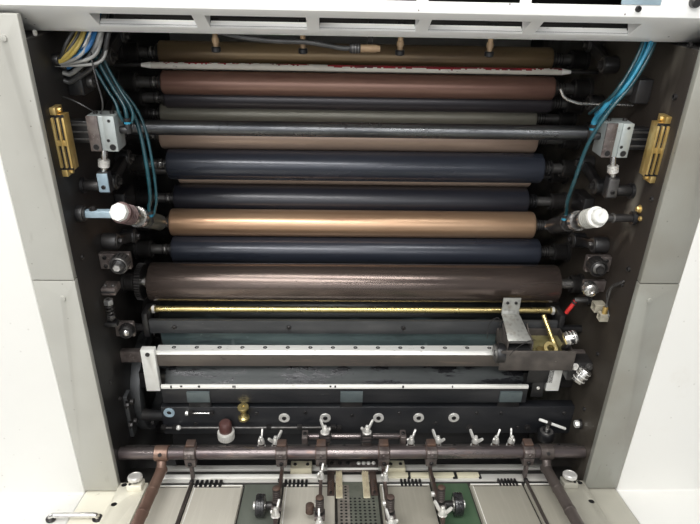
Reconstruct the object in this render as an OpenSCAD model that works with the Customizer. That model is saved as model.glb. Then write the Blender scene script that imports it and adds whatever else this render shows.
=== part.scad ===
// Printing unit of a sheet-fed offset press with its feed table.
// The origin is on the floor under the middle of the machine, X runs along the rollers,
// Y from the feed table to the back, and Z up. Places inside the unit are measured in Y
// from the front edge of the side frames.

/* [Overall] */
// Clear width between the side frames
frame_gap = 900; // [880:10:1000]
// Thickness of each side frame
frame_t = 65; // [50:1:80]
// Width of each side housing beside its frame
housing_w = 215; // [160:5:300]
// Depth of the unit behind the front edge of its frames
unit_depth = 760; // [700:10:1000]
// Reach of the feed table arms in front of the unit
arm_reach = 700; // [560:10:800]
// Height of the top of the arms where they leave the unit
arm_top_h = 735; // [725:1:740]
// Slope of the feed table, rising away from the unit
table_slope = 11; // [6:1:13]
// Clear height under the side frames
foot_h = 45; // [35:1:80]
// Diameter of the levelling feet
foot_d = 80; // [60:2:100]

/* [Front strips and hood] */
// Thickness of the painted strips on the frames' front edges
strip_t = 12; // [6:1:20]
// Height of the seam between the lower and the upper strip
strip_seam_h = 1199; // [1100:5:1300]
// Height of the hood's upright front face
hood_face_h = 53; // [40:1:60]
// Depth of the hood's sloping lip
lip_depth = 58; // [50:1:60]
// Drop of the hood's sloping lip
lip_drop = 38; // [34:1:44]
// Sheet thickness of the hood
hood_sheet = 3; // [2:0.5:5]
// Depth of the hood behind the frames' front edge
hood_depth = 150; // [140:5:200]
// Number of slots in the lip, and in the upright face
lip_slots = 5; // [3:2:5]
// Width of the slots in the lip
slot_w = 38; // [10:1:40]
// Height of the slots in the upright face
face_slot_h = 18; // [8:1:24]

/* [Cylinders] */
// Diameter of the plate, blanket and impression cylinders
cylinder_d = 230; // [224:1:234]
// Length of the cylinder faces
cylinder_face = 780; // [740:5:800]
// Distance of the plate cylinder's axis behind the front edge
plate_y = 286; // [284:1:292]
// Height of the plate cylinder's axis
plate_h = 971; // [968:1:976]
// Diameter of the cylinder shafts
shaft_d = 60; // [50:1:70]
// Width of the lock-up groove along the plate cylinder
groove_w = 36; // [20:1:50]
// Depth of the lock-up groove
groove_depth = 22; // [10:1:30]

/* [Rollers] */
// Diameter of the soft ink rollers
soft_d = 60; // [57:1:61]
// Diameter of the hard ink rollers
hard_d = 56; // [54:1:57]
// Diameter of the second hard roller from the top
distributor_d = 52; // [50:1:53]
// Diameter of the small soft roller
small_soft_d = 40; // [38:1:41]
// Diameter of the top rider roller
rider_d = 44; // [42:1:45]
// Diameter of the fountain roller
fountain_d = 44; // [40:1:50]
// Room from the top of the fountain roller to the top of the machine
top_room = 139; // [134:1:209]
// Length of the longer roller faces
roller_face = 758; // [746:2:760]
// Length of the middle roller faces
middle_face = 746; // [740:2:750]
// Length of the shorter roller faces
short_face = 736; // [720:2:740]
// Diameter of the roller journals
journal_d = 20; // [14:1:24]
// Diameter of the damping form roller
damping_d = 76; // [72:1:78]
// Length of the damping form roller
damping_face = 796; // [780:2:800]
// Gap at each nip between two rollers
nip_gap = 0.3; // [0.1:0.1:0.6]

/* [Bearings] */
// Length of the bearing bosses on the frames
boss_len = 34; // [28:1:34]
// Wall of the bearing bosses
boss_wall = 8; // [5:0.5:9]
// Radial clearance between a journal or bar and its bore
running_fit = 0.05; // [0.02:0.01:0.08]

/* [Bars across the unit] */
// Diameter of the steel tie bar
tie_bar_d = 28; // [20:1:30]
// Diameter of the front bar over the feed table
front_bar_d = 24; // [20:1:26]
// Height of the front bar over the end of the feed table
front_bar_rise = 59; // [57:1:62]
// Distance of the front bar behind the front edge
front_bar_y = 22; // [21:1:23]
// Diameter of the brass tube
brass_tube_d = 12; // [8:1:13]
// Number of holes along the gauge bar
gauge_holes = 15; // [10:1:18]

/* [Damping pan] */
// Length of the damping pan
pan_len = 723; // [700:1:740]
// Height of the pan's front lip
pan_lip_h = 909; // [905:1:912]
// Sheet thickness of the pan
pan_sheet = 3; // [2:0.5:4]
// Height of the top of the dark beam under the pan
lay_beam_h = 853; // [850:1:856]

/* [Feed table] */
// Height of the table top over the arms
table_rise = 10; // [4:1:12]
// Thickness of the table
table_t = 24; // [18:1:40]
// Thickness of the plates on the table
table_plate_t = 6; // [4:1:8]
// Width of each side rail
rail_w = 53; // [40:1:54]
// Width of the suction belt
belt_w = 76; // [60:1:80]
// Width of each tape
tape_w = 72; // [50:1:74]
// Diameter of the hold-down wheels
wheel_d = 41; // [36:1:46]
// Width of the hold-down wheels
wheel_w = 16; // [10:1:18]
// Diameter of the wheels' axles
axle_d = 8; // [5:1:10]
// Diameter of the two thick rods over the table
push_rod_d = 20; // [14:1:22]

/* [Hidden] */
$fn = 48;

half_gap = frame_gap / 2;
front_shift = (arm_reach - unit_depth) / 2;
slope_rise = tan(table_slope);
fountain_c = [372, 1489];
machine_h = fountain_c[1] + fountain_d / 2 + top_room;
hood_lip_h = machine_h - hood_face_h;
frame_h = hood_lip_h - lip_drop - 3;
port_h = frame_h + 32;
plug_h = frame_h - 13;
table_end_h = arm_top_h + table_rise;
front_bar_c = [front_bar_y, table_end_h + front_bar_rise];
cover_w = frame_gap + 2 * frame_t - 4;

// Centre of the plate cylinder, and of the two below it, as distances back and up
plate_c = [plate_y, plate_h];
blanket_c = plate_c + (cylinder_d + nip_gap) * heading(-45);
impression_c = blanket_c + (cylinder_d + nip_gap) * heading(214);

// Ink train from the plate upward: diameter, face length, the heading in degrees from
// the roller before it, and how far it stands to the right, because some move endways
ink_train = [
    [hard_d, roller_face, 92.8, 6],
    [hard_d, middle_face, 73.2, -2],
    [soft_d, short_face, 37.1, -4],
    [hard_d, short_face, 65.8, 3],
    [soft_d, middle_face, 150.5, 2],
    [hard_d, middle_face, 66.8, -12],
    [distributor_d, roller_face, 35, -12],
    [small_soft_d, roller_face, 126.5, 6],
    [rider_d, middle_face, 126.9, 4]
];
damping_c = plate_c + ((cylinder_d + damping_d) / 2 + nip_gap) * heading(130.2);
tie_bar_c = [278, 1368];
pan_lip_y = 94;
pan_x = [-378, pan_len - 378];

// Places of the clamps along the front bar, and of those that carry a wheel
clamp_x = [-315, -141, -65, 56, 148, 338];
wheel_x = [-172, 184];
rod_x = [-370, 374];
wheel_c = [-86, wheel_d / 2 - 3 + 0.3];

// Table plates from left to right, as left and right edges
plate_spans = [[-392, -317], [-311, -216], [-136, -39], [49, 146], [226, 328], [334, 395]];
table_len = (arm_reach - 10) / cos(table_slope);

// Routes of the air tubes, two on the right and two on the left: along X, Y and Z
feed_route = [[414, 120, port_h], [414, 94, port_h], [408, 70, 1562], [396, 62, 1525], [376, 60, 1485],
    [364, 66, 1458], [362, 80, 1440], [362, 80, 1428]];
lock_route = [[426, 120, port_h], [426, 92, port_h], [418, 62, 1555], [396, 52, 1505], [366, 48, 1460],
    [346, 50, 1410], [340, 58, 1350], [344, 80, 1305], [353, 97, 1280], [353, 97, 1268]];

left_feed_route = [[-414, 120, port_h], [-414, 108, port_h], [-400, 96, 1525], [-382, 92, 1480], [-366, 84, 1454],
    [-362, 80, 1440], [-362, 80, 1428]];
left_lock_route = [[-426, 120, port_h], [-426, 112, port_h], [-408, 110, 1520], [-388, 112, 1478],
    [-366, 108, 1446], [-352, 100, 1410], [-345, 90, 1350], [-347, 92, 1300], [-353, 97, 1280],
    [-353, 97, 1268]];

// Cables on the left: diameter and route
cables = [
    [12, [[-402, 120, port_h], [-402, 98, port_h], [-408, 76, 1556], [-420, 66, 1536],
        [-438, 68, 1519], [-450, 68, 1519]]],
    [10, [[-386, 120, port_h], [-386, 96, port_h], [-393, 76, 1556], [-408, 72, 1532],
        [-438, 88, 1508], [-450, 88, 1508]]],
    [7, [[-373, 120, port_h], [-373, 94, port_h], [-380, 76, 1556], [-398, 74, 1526],
        [-436, 90, 1497], [-450, 90, 1497]]],
    [7, [[-362, 120, port_h], [-362, 94, port_h], [-370, 76, 1552], [-388, 80, 1518],
        [-436, 88, 1486], [-450, 88, 1486]]],
    [7, [[-232, 92, frame_h + 22], [-232, 92, frame_h + 15], [-222, 73, frame_h + 8], [-184, 61, frame_h],
        [-132, 59, frame_h - 5], [-84, 60, frame_h - 6], [-36, 60, plug_h], [-24, 60, plug_h]]]
];

function heading(a) = [cos(a), sin(a)];
function ink_d(i) = i < 0 ? cylinder_d : ink_train[i][0];
function ink_c(i) = i < 0 ? plate_c
    : ink_c(i - 1) + ((ink_d(i) + ink_d(i - 1)) / 2 + nip_gap) * heading(ink_train[i][2]);

// Direction of a route at point i, and the ring of points round it
function unit(v) = v / norm(v);
function going(r, i) = unit(r[min(i + 1, len(r) - 1)] - r[max(i - 1, 0)]);
function side_at(r, i) = i == 0 ? unit(cross(going(r, 0), [0.3, 0.1, 0.95]))
    : let (w = side_at(r, i - 1), t = going(r, i)) unit(w - (w * t) * t);
function ring(r, i, d) = let (t = going(r, i), u = side_at(r, i), v = cross(t, u))
    [for (k = [0 : 7]) r[i] + d / 2 * (cos(45 * k) * u + sin(45 * k) * v)];

// Round tube along a route of points
module tube(r, d) {
    n = len(r);
    points = [for (i = [0 : n - 1]) each ring(r, i, d)];
    walls = [for (i = [0 : n - 2]) for (k = [0 : 7])
        let (a = 8 * i + k, b = 8 * i + (k + 1) % 8)
            each [[a + 8, b + 8, b], [a + 8, b, a]]];
    ends = [[for (k = [0 : 7]) k], [for (k = [7 : -1 : 0]) 8 * (n - 1) + k]];
    polyhedron(points, concat(walls, ends));
}

// Puts a piece that is placed from the frames' front edge into the machine's own frame
module placed() {
    translate([0, front_shift, 0]) children();
}

// Puts a piece on the table: Y runs along the table top and Z stands square on it
module on_table() {
    translate([0, 0, table_end_h]) rotate([-table_slope, 0, 0]) children();
}

// Box given by its lowest and highest corner
module box(a, b) {
    translate(a) cube(b - a);
}

// Extrudes an outline given in Y and Z along X
module along_x(x0, w) {
    translate([x0, 0, 0]) rotate([90, 0, 90]) linear_extrude(w) children();
}

// Round bar along X with its axis at c
module x_bar(c, d, x0, x1) {
    translate([min(x0, x1), c[0], c[1]]) rotate([0, 90, 0]) cylinder(d = d, h = abs(x1 - x0));
}

// Round bar from point a to point b
module rod(a, b, d) {
    v = b - a;
    translate(a) rotate([0, acos(v[2] / norm(v)), atan2(v[1], v[0])]) cylinder(d = d, h = norm(v));
}

// Hexagon head standing on Z with the given width across its flats
module hex(across, h) {
    cylinder(d = across / cos(30), h = h, $fn = 6);
}

// Wing nut on its stud, standing on Z
module wing_nut(turn = 0) rotate([0, 0, turn]) {
    cylinder(d1 = 13, d2 = 9, h = 9);
    cylinder(d = 6, h = 14);
    for (m = [0, 1])
        mirror([m, 0, 0]) translate([0, 1.4, 0]) rotate([90, 0, 0]) linear_extrude(2.8)
            polygon([[3, 1.5], [12, 10], [16, 18], [12.5, 19.5], [8, 14], [3, 8]]);
}

// Outline of a side frame with its arm under the feed table
module frame_outline(front = 0, back = unit_depth, top = frame_h, foot = foot_h, end = arm_reach) {
    polygon([
        [-end, foot], [back, foot], [back, top], [front, top],
        [front, arm_top_h], [-end, arm_top_h + end * slope_rise]
    ]);
}

module base_beams() color("dimgray") placed() {
    for (y = [-arm_reach + 60, -front_shift, unit_depth - 120]) {
        box([-half_gap - frame_t, y - 30, foot_h - 27], [half_gap + frame_t, y + 30, foot_h]);
        for (x = [-half_gap - 10, half_gap + 10]) {
            translate([x, y, 0]) cylinder(d = foot_d, h = 10);
            translate([x, y, 10]) cylinder(d = foot_d * 0.4, h = foot_h - 37);
        }
    }
    translate([0, -front_shift, 0]) cylinder(d = foot_d, h = foot_h - 27);
}

module side_frame(side) {
    inner = side * half_gap;
    difference() {
        along_x(min(inner, inner + side * frame_t), frame_t) frame_outline();
        for (c = [plate_c, blanket_c, impression_c])
            x_bar(c, shaft_d + 2 * running_fit, inner - side, inner + side * (frame_t - 20));
    }
}
module side_frame_left() color("#3b3a38") placed() side_frame(-1);
module side_frame_right() color("#3b3a38") placed() side_frame(1);

module side_housing(side) {
    x0 = side < 0 ? -half_gap - frame_t - housing_w : half_gap + frame_t;
    along_x(x0, housing_w)
        frame_outline(front = -strip_t, top = machine_h, foot = foot_h * 2);
}
module side_housing_left() color("#e9e7e0") placed() side_housing(-1);
module side_housing_right() color("#e9e7e0") placed() side_housing(1);

module front_strips() color("#cfccc4") placed() for (side = [-1, 1]) {
    x0 = side < 0 ? -half_gap - frame_t : half_gap;
    for (span = [[arm_top_h + 7, strip_seam_h - 1], [strip_seam_h + 1, hood_lip_h - 10]]) {
        translate([x0, -strip_t, span[0]]) cube([frame_t, strip_t, span[1] - span[0]]);
        translate([side * (half_gap + frame_t * 0.36), -strip_t, span[1] - 30])
            rotate([90, 0, 0]) cylinder(d = 9, h = 2.5);
    }
}

module slotted_hood() color("#dcdad4") placed() {
    pitch = frame_gap / 6;
    lip_foot_h = hood_lip_h - lip_drop;
    lip_angle = atan2(lip_drop, lip_depth + strip_t);
    difference() {
        along_x(-cover_w / 2, cover_w) polygon([
            [-strip_t, hood_lip_h], [lip_depth, lip_foot_h],
            [lip_depth, lip_foot_h + hood_sheet * 1.3], [hood_sheet - strip_t, hood_lip_h + hood_sheet],
            [hood_sheet - strip_t, machine_h - hood_sheet], [hood_depth, machine_h - hood_sheet],
            [hood_depth, machine_h], [-strip_t, machine_h]
        ]);
        for (i = [0 : lip_slots - 1]) {
            place = i - (lip_slots - 1) / 2;
            translate([place * pitch, (lip_depth - strip_t) / 2, hood_lip_h - lip_drop / 2])
                rotate([-lip_angle, 0, 0]) cube([pitch * 0.885, slot_w, 16], center = true);
            translate([place * pitch * 0.89, -strip_t, hood_lip_h + 14 + face_slot_h / 2])
                cube([pitch * 0.79, 8, face_slot_h], center = true);
        }
    }
}

module top_cover() color("#e4e2dc") placed() {
    box([-cover_w / 2, hood_depth, frame_h], [cover_w / 2, unit_depth, machine_h]);
    for (side = [-1, 1])
        box([side * 391 - 50, hood_depth - 30, frame_h + 10], [side * 391 + 50, hood_depth, frame_h + 44]);
}

module rear_cover() color("#e4e2dc") placed() {
    box([-half_gap, unit_depth - 30, foot_h * 2], [half_gap, unit_depth - 5, frame_h]);
}

module lower_cover() color("#e4e2dc") placed() {
    box([-half_gap, 40, foot_h * 2], [half_gap, 60, 520]);
}

module arm_end_beam() color("#3b3a38") placed() {
    y = -arm_reach + 20;
    top = table_end_h - table_t / cos(table_slope) - (y + 60) * slope_rise - 20;
    box([-half_gap, y, top - 60], [half_gap, y + 60, top]);
}

module tie_bar() color("silver") placed() {
    x_bar(tie_bar_c, tie_bar_d, -half_gap, half_gap);
    for (side = [-1, 1])
        x_bar(tie_bar_c, tie_bar_d + 12, side * half_gap, side * (half_gap - 14));
}

module front_bar() color("#7a6a5c") placed() x_bar(front_bar_c, front_bar_d, -half_gap, half_gap);

// Thin white bar in front of the top rollers, tapered to its pins
module guard_bar() color("#ded8cc") placed() {
    c = [307, 1475.5];
    body = short_face / 2 + 12;
    x_bar(c, 12, -body, body);
    for (side = [-1, 1]) {
        translate([side * body, c[0], c[1]]) rotate([0, side * 90, 0]) cylinder(d1 = 12, d2 = 7, h = 18);
        x_bar(c, 7, side * (body + 18), side * half_gap);
    }
}

module brass_tube() color("#b08d3c") placed() {
    c = [168, 1038];
    x_bar(c, brass_tube_d, -400, 400);
    x_bar(c, brass_tube_d - 4, -410, 410);
}

// Flat bar with the end plates that also carry the brass tube
module flat_bar() color("#4c5560") placed() {
    box([-400, 144, 997], [400, 152, 1026]);
    for (side = [-1, 1]) difference() {
        box([side * 405 - 5, 138, 992], [side * 405 + 5, 178, 1044]);
        x_bar([168, 1038], brass_tube_d - 4 + 2 * running_fit, side * 390, side * 420);
    }
    for (side = [-1, 1])
        x_bar([148, 1008], 16, side * 410, side * half_gap);
}

module gauge_bar() color("#b8b2a8") placed() difference() {
    box([-380, 100, 951], [380, 122, 985]);
    for (i = [0 : gauge_holes - 1])
        translate([(i - (gauge_holes - 1) / 2) * 43.6 - 43.6, 116, 978]) cylinder(d = 7, h = 8);
}

module gauge_end_plates() color("#dfe2dc") placed() for (side = [-1, 1]) {
    top = side < 0 ? 993 : 985;
    box([side * 393 - 13, 92, 897], [side * 393 + 13, 106, top]);
    translate([side * 393, 92, top - 9]) rotate([90, 0, 0]) cylinder(d = 8, h = 2.5);
    box([side * 415 - 35, 106, 955], [side * 415 + 35, 118, 980]);
}

// Bearing boss against each frame for each roller journal
module roller_bearings() color("#2c2a28") placed() for (side = [-1, 1]) {
    all_c = [for (i = [0 : len(ink_train) - 1]) [ink_c(i), ink_d(i), boss_len],
        [fountain_c, fountain_d, boss_len], [damping_c, damping_d, boss_len - 12]];
    for (r = all_c) difference() {
        x_bar(r[0], min(journal_d + 2 * boss_wall, r[1] - 4), side * half_gap, side * (half_gap - r[2]));
        x_bar(r[0], journal_d + 2 * running_fit, side * (half_gap + 1), side * (half_gap - boss_len - 1));
    }
}

// Bearing arms in front of the bosses on each frame, with their pivot bolts
module roller_brackets() color("#242322") placed() for (side = [-1, 1]) {
    for (a = [[[124, 1204], [214, 1172]], [[150, 1392], [262, 1428]], [[236, 1500], [318, 1524]],
        [[168, 1300], [250, 1318]]]) {
        rod([side * 434, a[0][0], a[0][1]], [side * 434, a[1][0], a[1][1]], 18);
        for (e = [0, 1]) {
            x_bar(a[e], 30, side * (half_gap - 26), side * half_gap);
            translate([side * (half_gap - 26), a[e][0], a[e][1]]) rotate([0, -side * 90, 0]) hex(13, 6);
        }
    }
    box([side * 440 - 10, 205, 1220], [side * 440 + 10, 262, 1262]);
    box([side * 438 - 12, 96, 1462], [side * 438 + 12, 140, 1500]);
    x_bar([118, 1481], 22, side * 426, side * 416);
}

// Rotor with a face between two journals
module roller(c, d, face, aside = 0) {
    x_bar(c, d, aside - face / 2, aside + face / 2);
    for (s = [-1, 1]) {
        x_bar(c, journal_d, s * (half_gap - 5), aside + s * (face / 2 - 1));
        x_bar(c, journal_d + 8, aside + s * (face / 2 - 1), aside + s * (face / 2 + 8));
    }
}
module ink_roller(i) roller(ink_c(i), ink_d(i), ink_train[i][1], ink_train[i][3]);

module ink_roller_1() color("#20242e") placed() ink_roller(0);
module ink_roller_2() color("#b8794a") placed() ink_roller(1);
module ink_roller_3() color("#252b38") placed() ink_roller(2);
module ink_roller_4() color("#8a6a50") placed() ink_roller(3);
module ink_roller_5() color("#20242e") placed() ink_roller(4);
module ink_roller_6() color("#8a6a50") placed() ink_roller(5);
module ink_roller_7() color("#55524a") placed() ink_roller(6);
module ink_roller_8() color("#2a2c36") placed() ink_roller(7);
module ink_roller_9() color("#6b4334") placed() ink_roller(8);
module fountain_roller() color("#6f5638") placed() roller(fountain_c, fountain_d, roller_face);

// Damping form roller with its drive gear on the left journal
module damping_roller() color("#4a3a34") placed() {
    roller(damping_c, damping_d, damping_face);
    x_bar(damping_c, damping_d - 3, -damping_face / 2 - 24, -damping_face / 2 - 12);
}

// Cylinder with its shaft ends in the frames
module cylinder_body(c) {
    x_bar(c, cylinder_d, -cylinder_face / 2, cylinder_face / 2);
    for (s = [-1, 1])
        x_bar(c, shaft_d, s * (half_gap + frame_t - 25), s * (cylinder_face / 2 - 1));
}
module plate_cylinder() color("#4f7276") placed() difference() {
    cylinder_body(plate_c);
    translate([-cylinder_face, plate_c[0] - groove_w / 2, plate_c[1] - cylinder_d / 2 - 1])
        cube([2 * cylinder_face, groove_w, groove_depth + 1]);
}
module blanket_cylinder() color("#3d4a63") placed() cylinder_body(blanket_c);
module impression_cylinder() color("silver") placed() cylinder_body(impression_c);

// Trough under the damping roller, with three supports and two hangers
module damping_pan() color("#5a6468") placed() {
    back = [pan_lip_y + 64, pan_lip_h + 29];
    foot = pan_lip_h - 40;
    along_x(pan_x[0], pan_len) polygon([
        [pan_lip_y, pan_lip_h], [pan_lip_y + pan_sheet, pan_lip_h],
        [pan_lip_y + pan_sheet, foot], back, [back[0] + pan_sheet, back[1]],
        [pan_lip_y + pan_sheet + 2, foot - pan_sheet], [pan_lip_y, foot - pan_sheet]
    ]);
    for (x = [pan_x[0] + 71, (pan_x[0] + pan_x[1]) / 2 + 10.5, pan_x[1] - 33]) {
        box([x - 22, pan_lip_y - 5, foot + 2], [x + 22, pan_lip_y, foot + 26]);
        box([x - 22, pan_lip_y + 2, lay_beam_h], [x + 22, pan_lip_y + 6, foot - 2]);
    }
    box([20 - half_gap, pan_lip_y + 34, foot + 8], [pan_x[0], pan_lip_y + 50, foot + 44]);
    box([pan_x[1], pan_lip_y + 34, foot + 8], [half_gap, pan_lip_y + 50, foot + 44]);
}

// Water box on the right, with its brass rod and ring, sheet bracket and two hose spigots
module water_box() color("#5d564f") placed() {
    difference() {
        box([278, 60, 985], [404, 138, 1016]);
        box([300, 64, 990], [400, 134, 1017]);
    }
    x_bar([76, 1000], 38, 262, 278);
    box([282, 66, 1016], [318, 108, 1034]);
    along_x(280, 32) polygon([[98, 1034], [122, 1046], [128, 1056], [128, 1098], [131, 1098], [131, 1054],
        [124, 1043], [98, 1031]]);
    rod([366, 140, 1045], [388, 88, 988], 8);
    translate([350, 84, 988]) cylinder(d = 16, h = 20);
    rod([381, 62, 1041], [403, 62, 1048], 24);
    rod([392, 76, 1012], [392, 64, 1042], 16);
    rod([422, 60, 946], [437, 62, 972], 24);
    box([406, 70, 940], [half_gap, 100, 982]);
    rod([420, 72, 950], [428, 60, 948], 14);
}

module lay_beam() color("#1d2023") placed() {
    box([-386, 96, lay_beam_h - 70], [half_gap, 118, lay_beam_h]);
    x_bar([114, lay_beam_h - 35], 24, -386, 20 - half_gap);
}

// Washers with screws, a thin rod in clips, a knurled adjuster, a cup and a T handle
module beam_fittings() color("#9aa3a0") placed() {
    washers = [-370, -141, -58, 50, 132, 204];
    for (x = washers) {
        translate([x, 96, x < -300 ? 840 : 826]) rotate([90, 0, 0]) difference() {
            cylinder(d = 22, h = 2.5);
            cylinder(d = 10.5, h = 3);
        }
        translate([x, 96, x < -300 ? 840 : 826]) rotate([90, 0, 0]) cylinder(d = 10, h = 2);
    }
    x_bar([90, 805], 5, -388, -36);
    for (x = [-384, -362, -172, -110, -42])
        box([x - 5, 87, 801], [x + 5, 96, 809]);
    x_bar([91, 842], 4, -325, -285);
    box([-329, 89, 838], [-321, 96, 846]);
    box([-289, 89, 838], [-281, 96, 846]);
    for (z = [834, 860])
        translate([-220, 84, z]) cylinder(d = 22, h = 5);
    translate([-220, 84, 839]) cylinder(d = 15, h = 23);
    box([-223, 84, 844], [-217, 96, 852]);
    translate([-257, 78, 789]) cylinder(d = 33, h = 19);
    translate([-257, 78, 808]) cylinder(d = 26, h = 24);
    box([-262, 86, 792], [-252, 96, 804]);
    translate([393, 77, 786]) cylinder(d = 33, h = 20);
    translate([393, 77, 806]) cylinder(d = 9, h = 22);
    rod([373, 77, 837], [431, 77, 812], 6);
    box([388, 86, 788], [398, 96, 800]);
}

module wall_ring() color("#5c5c58") placed() {
    difference() {
        x_bar([222, 833], 224, -half_gap, -half_gap + 20);
        x_bar([222, 833], 168, -half_gap - 1, -half_gap + 21);
    }
    box([-half_gap, 80, 790], [-half_gap + 8, 104, 892]);
    for (z = [869, 820])
        translate([-half_gap + 8, 94, z]) rotate([0, 90, 0]) hex(12, 7);
}

// Small air cylinders on the walls with their fittings, rods and forks
module air_cylinders() color("#c4c6c4") placed() for (side = [-1, 1]) {
    difference() {
        box([side * 396 - 21, 60, 1386], [side * 396 + 21, 98, 1440]);
        box([side * 396 - 4, 59, 1384], [side * 396 + 4, 63, 1442]);
        for (x = [-11, 11])
            translate([side * 396 + x, 74, 1385]) cylinder(d = 8, h = 6);
    }
    box([side * 433.5 - 16.5, 70, 1396], [side * 433.5 + 16.5, 90, 1430]);
    x_bar([80, 1415], 12, side * 375, side * 362);
    translate([side * 362, 80, 1409]) cylinder(d = 11, h = 19);
    rod([side * 404, 80, 1388], [side * 411, 80, 1347], 10);
    rod([side * 407.5, 80, 1367], [side * 409.5, 80, 1355.5], 18);
    box([side * 412 - 9, 71, 1312], [side * 412 + 9, 89, 1348]);
    x_bar([80, 1324], 18, side * 421, side * half_gap);
}

// Passivated catches with upright ribs on the walls near the front edge
module wall_catches() color("#c99b3f") placed() for (side = [-1, 1]) {
    box([side * 441 - 9, 24, 1368], [side * 441 + 9, 42, 1450]);
    for (x = [-7.5, 0, 7.5])
        box([side * 441 + x - 1.5, 20, 1372], [side * 441 + x + 1.5, 24, 1446]);
    box([side * 441 - 9, 21, 1405], [side * 441 + 9, 24, 1413]);
    for (z = [1358, 1450]) {
        box([side * 446 - 4, 22, z], [side * 446 + 4, 46, z + 10]);
        x_bar([34, z + 5], 7, side * 442, side * 438);
    }
}

// Lock handles: arm from the wall with a cross cylinder pointing down to the rollers
module lock_handles() color("#8f8a86") placed() for (side = [-1, 1]) {
    x_bar([44, 1290], 13, side * half_gap, side * 388);
    translate([side * (half_gap - 8), 44, 1290]) rotate([0, side * 90, 0]) hex(20, 8);
    rod([side * 379, 24, 1301.5], [side * 379, 32, 1297], 34);
    rod([side * 379, 32, 1297], [side * 379, 150, 1229], 28);
    rod([side * 379, 78, 1270.5], [side * 379, 86, 1265.9], 34);
    rod([side * 379, 150, 1229], [side * 379, 162, 1222], 16);
    rod([side * 367, 97, 1259], [side * 353, 97, 1259], 10);
    translate([side * 353, 97, 1254]) cylinder(d = 10, h = 14);
}

// Knobs, blocks, levers and screws that set the rollers
module roller_adjusters() color("#55504b") placed() {
    for (side = [-1, 1]) {
        x = side < 0 ? -411 : 420;
        rod([x, 70, 1182], [x, 92, 1182], 32);
        translate([x, 70, 1182]) rotate([90, 0, 0]) hex(13, 8);
        box([side < 0 ? -half_gap : x - 14, 92, 1165], [side < 0 ? x + 14 : half_gap, 104, 1195]);
    }
    rod([418, 74, 1135], [418, 92, 1135], 26);
    box([410, 92, 1124], [450, 102, 1146]);
    box([-450, 74, 1122], [-425, 104, 1136]);
    rod([-438, 70, 1072], [-438, 70, 1118], 10);
    for (i = [0 : 4])
        rod([-438, 70, 1078 + 7 * i], [-438, 70, 1081 + 7 * i], 16);
    box([-450, 62, 1064], [-428, 78, 1072]);
    rod([-426, 84, 1034], [-426, 104, 1034], 26);
    box([-450, 104, 1016], [-415, 114, 1046]);
    rod([419, 128, 1086], [404, 128, 1056], 8);
    x_bar([128, 1086], 10, 415, half_gap);
    box([430, 72, 1092], [450, 90, 1108]);
    box([434, 54, 1084], [450, 68, 1099]);
    rod([446.5, 35, 1178], [442, 58, 1150], 6);
    rod([442, 58, 1150], [442, 59, 1108], 6);
    translate([442, 58, 1150]) sphere(d = 6);
    x_bar([58, 842], 20, half_gap, half_gap - 5);
    translate([half_gap - 5, 58, 842]) rotate([0, -90, 0]) hex(13, 8);
    x_bar([30, 1204], 9, half_gap, half_gap - 4);
    x_bar([26, 1488], 9, half_gap, half_gap - 4);
}

// Rail under the hood with the ink key pins and the sensor plug
module key_rail() color("#b08a5c") placed() {
    box([-340, 80, frame_h + 22], [340, hood_depth, frame_h + 28]);
    for (x = [-220, -92, 52, 186]) {
        translate([x, 90, frame_h - 18]) cylinder(d = 8, h = 40);
        translate([x, 90, frame_h - 26]) cylinder(d = 14, h = 8);
    }
    x_bar([60, plug_h], 14, -24, -8);
    x_bar([60, plug_h], 11, -8, 20);
    box([4, 60, plug_h - 3], [12, 100, plug_h + 3]);
    box([4, 94, plug_h + 3], [12, 100, frame_h + 22]);
}

module air_tubes() color("#1f5a66") placed() {
    tube(feed_route, 8);
    tube(lock_route, 8);
    tube(left_feed_route, 8);
    tube(left_lock_route, 8);
}

module cable_bundle() color("#8a8448") placed() {
    for (c = cables) tube(c[1], c[0]);
}

module feed_table() color("#b9b7ae") placed() on_table() {
    slab_top = -table_plate_t;
    box([-half_gap, -table_len, -table_t], [half_gap, 61, slab_top]);
    for (s = plate_spans)
        box([s[0], -table_len, slab_top], [s[1], -3, 0]);
}

// Side rails with counterbored screw holes, and the cross piece at the far end
module table_rails() color("#cfc9b4") placed() on_table() for (side = [-1, 1]) difference() {
    box([side * (half_gap - rail_w / 2) - rail_w / 2, -table_len, -table_plate_t],
        [side * (half_gap - rail_w / 2) + rail_w / 2, -2, 5]);
    for (y = [-8, -64, -260, -456])
        translate([side * (half_gap - 9), y, 0]) cylinder(d = 11, h = 6);
}

module thumb_screws() color("#b4ab98") placed() on_table() for (side = [-1, 1]) {
    box([side * 416 - 14, -28, 5], [side * 416 + 14, -4, 17]);
    translate([side * 416, -16, 17]) cylinder(d = 12, h = 6);
    translate([side * 416, -16, 23]) cylinder(d = 26, h = 9);
}

module suction_belt() color("#4d4a42") placed() on_table() {
    x = (plate_spans[2][1] + plate_spans[3][0]) / 2;
    box([x - belt_w / 2, -table_len, -table_plate_t], [x + belt_w / 2, 5, -1]);
    x_bar([5, -(table_plate_t + 1) / 2], table_plate_t - 1, x - belt_w / 2, x + belt_w / 2);
}

module green_tapes() color("#3f5a45") placed() on_table()
    for (x = [-176, 186])
        box([x - tape_w / 2, -table_len, -table_plate_t], [x + tape_w / 2, 2, -3]);

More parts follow.
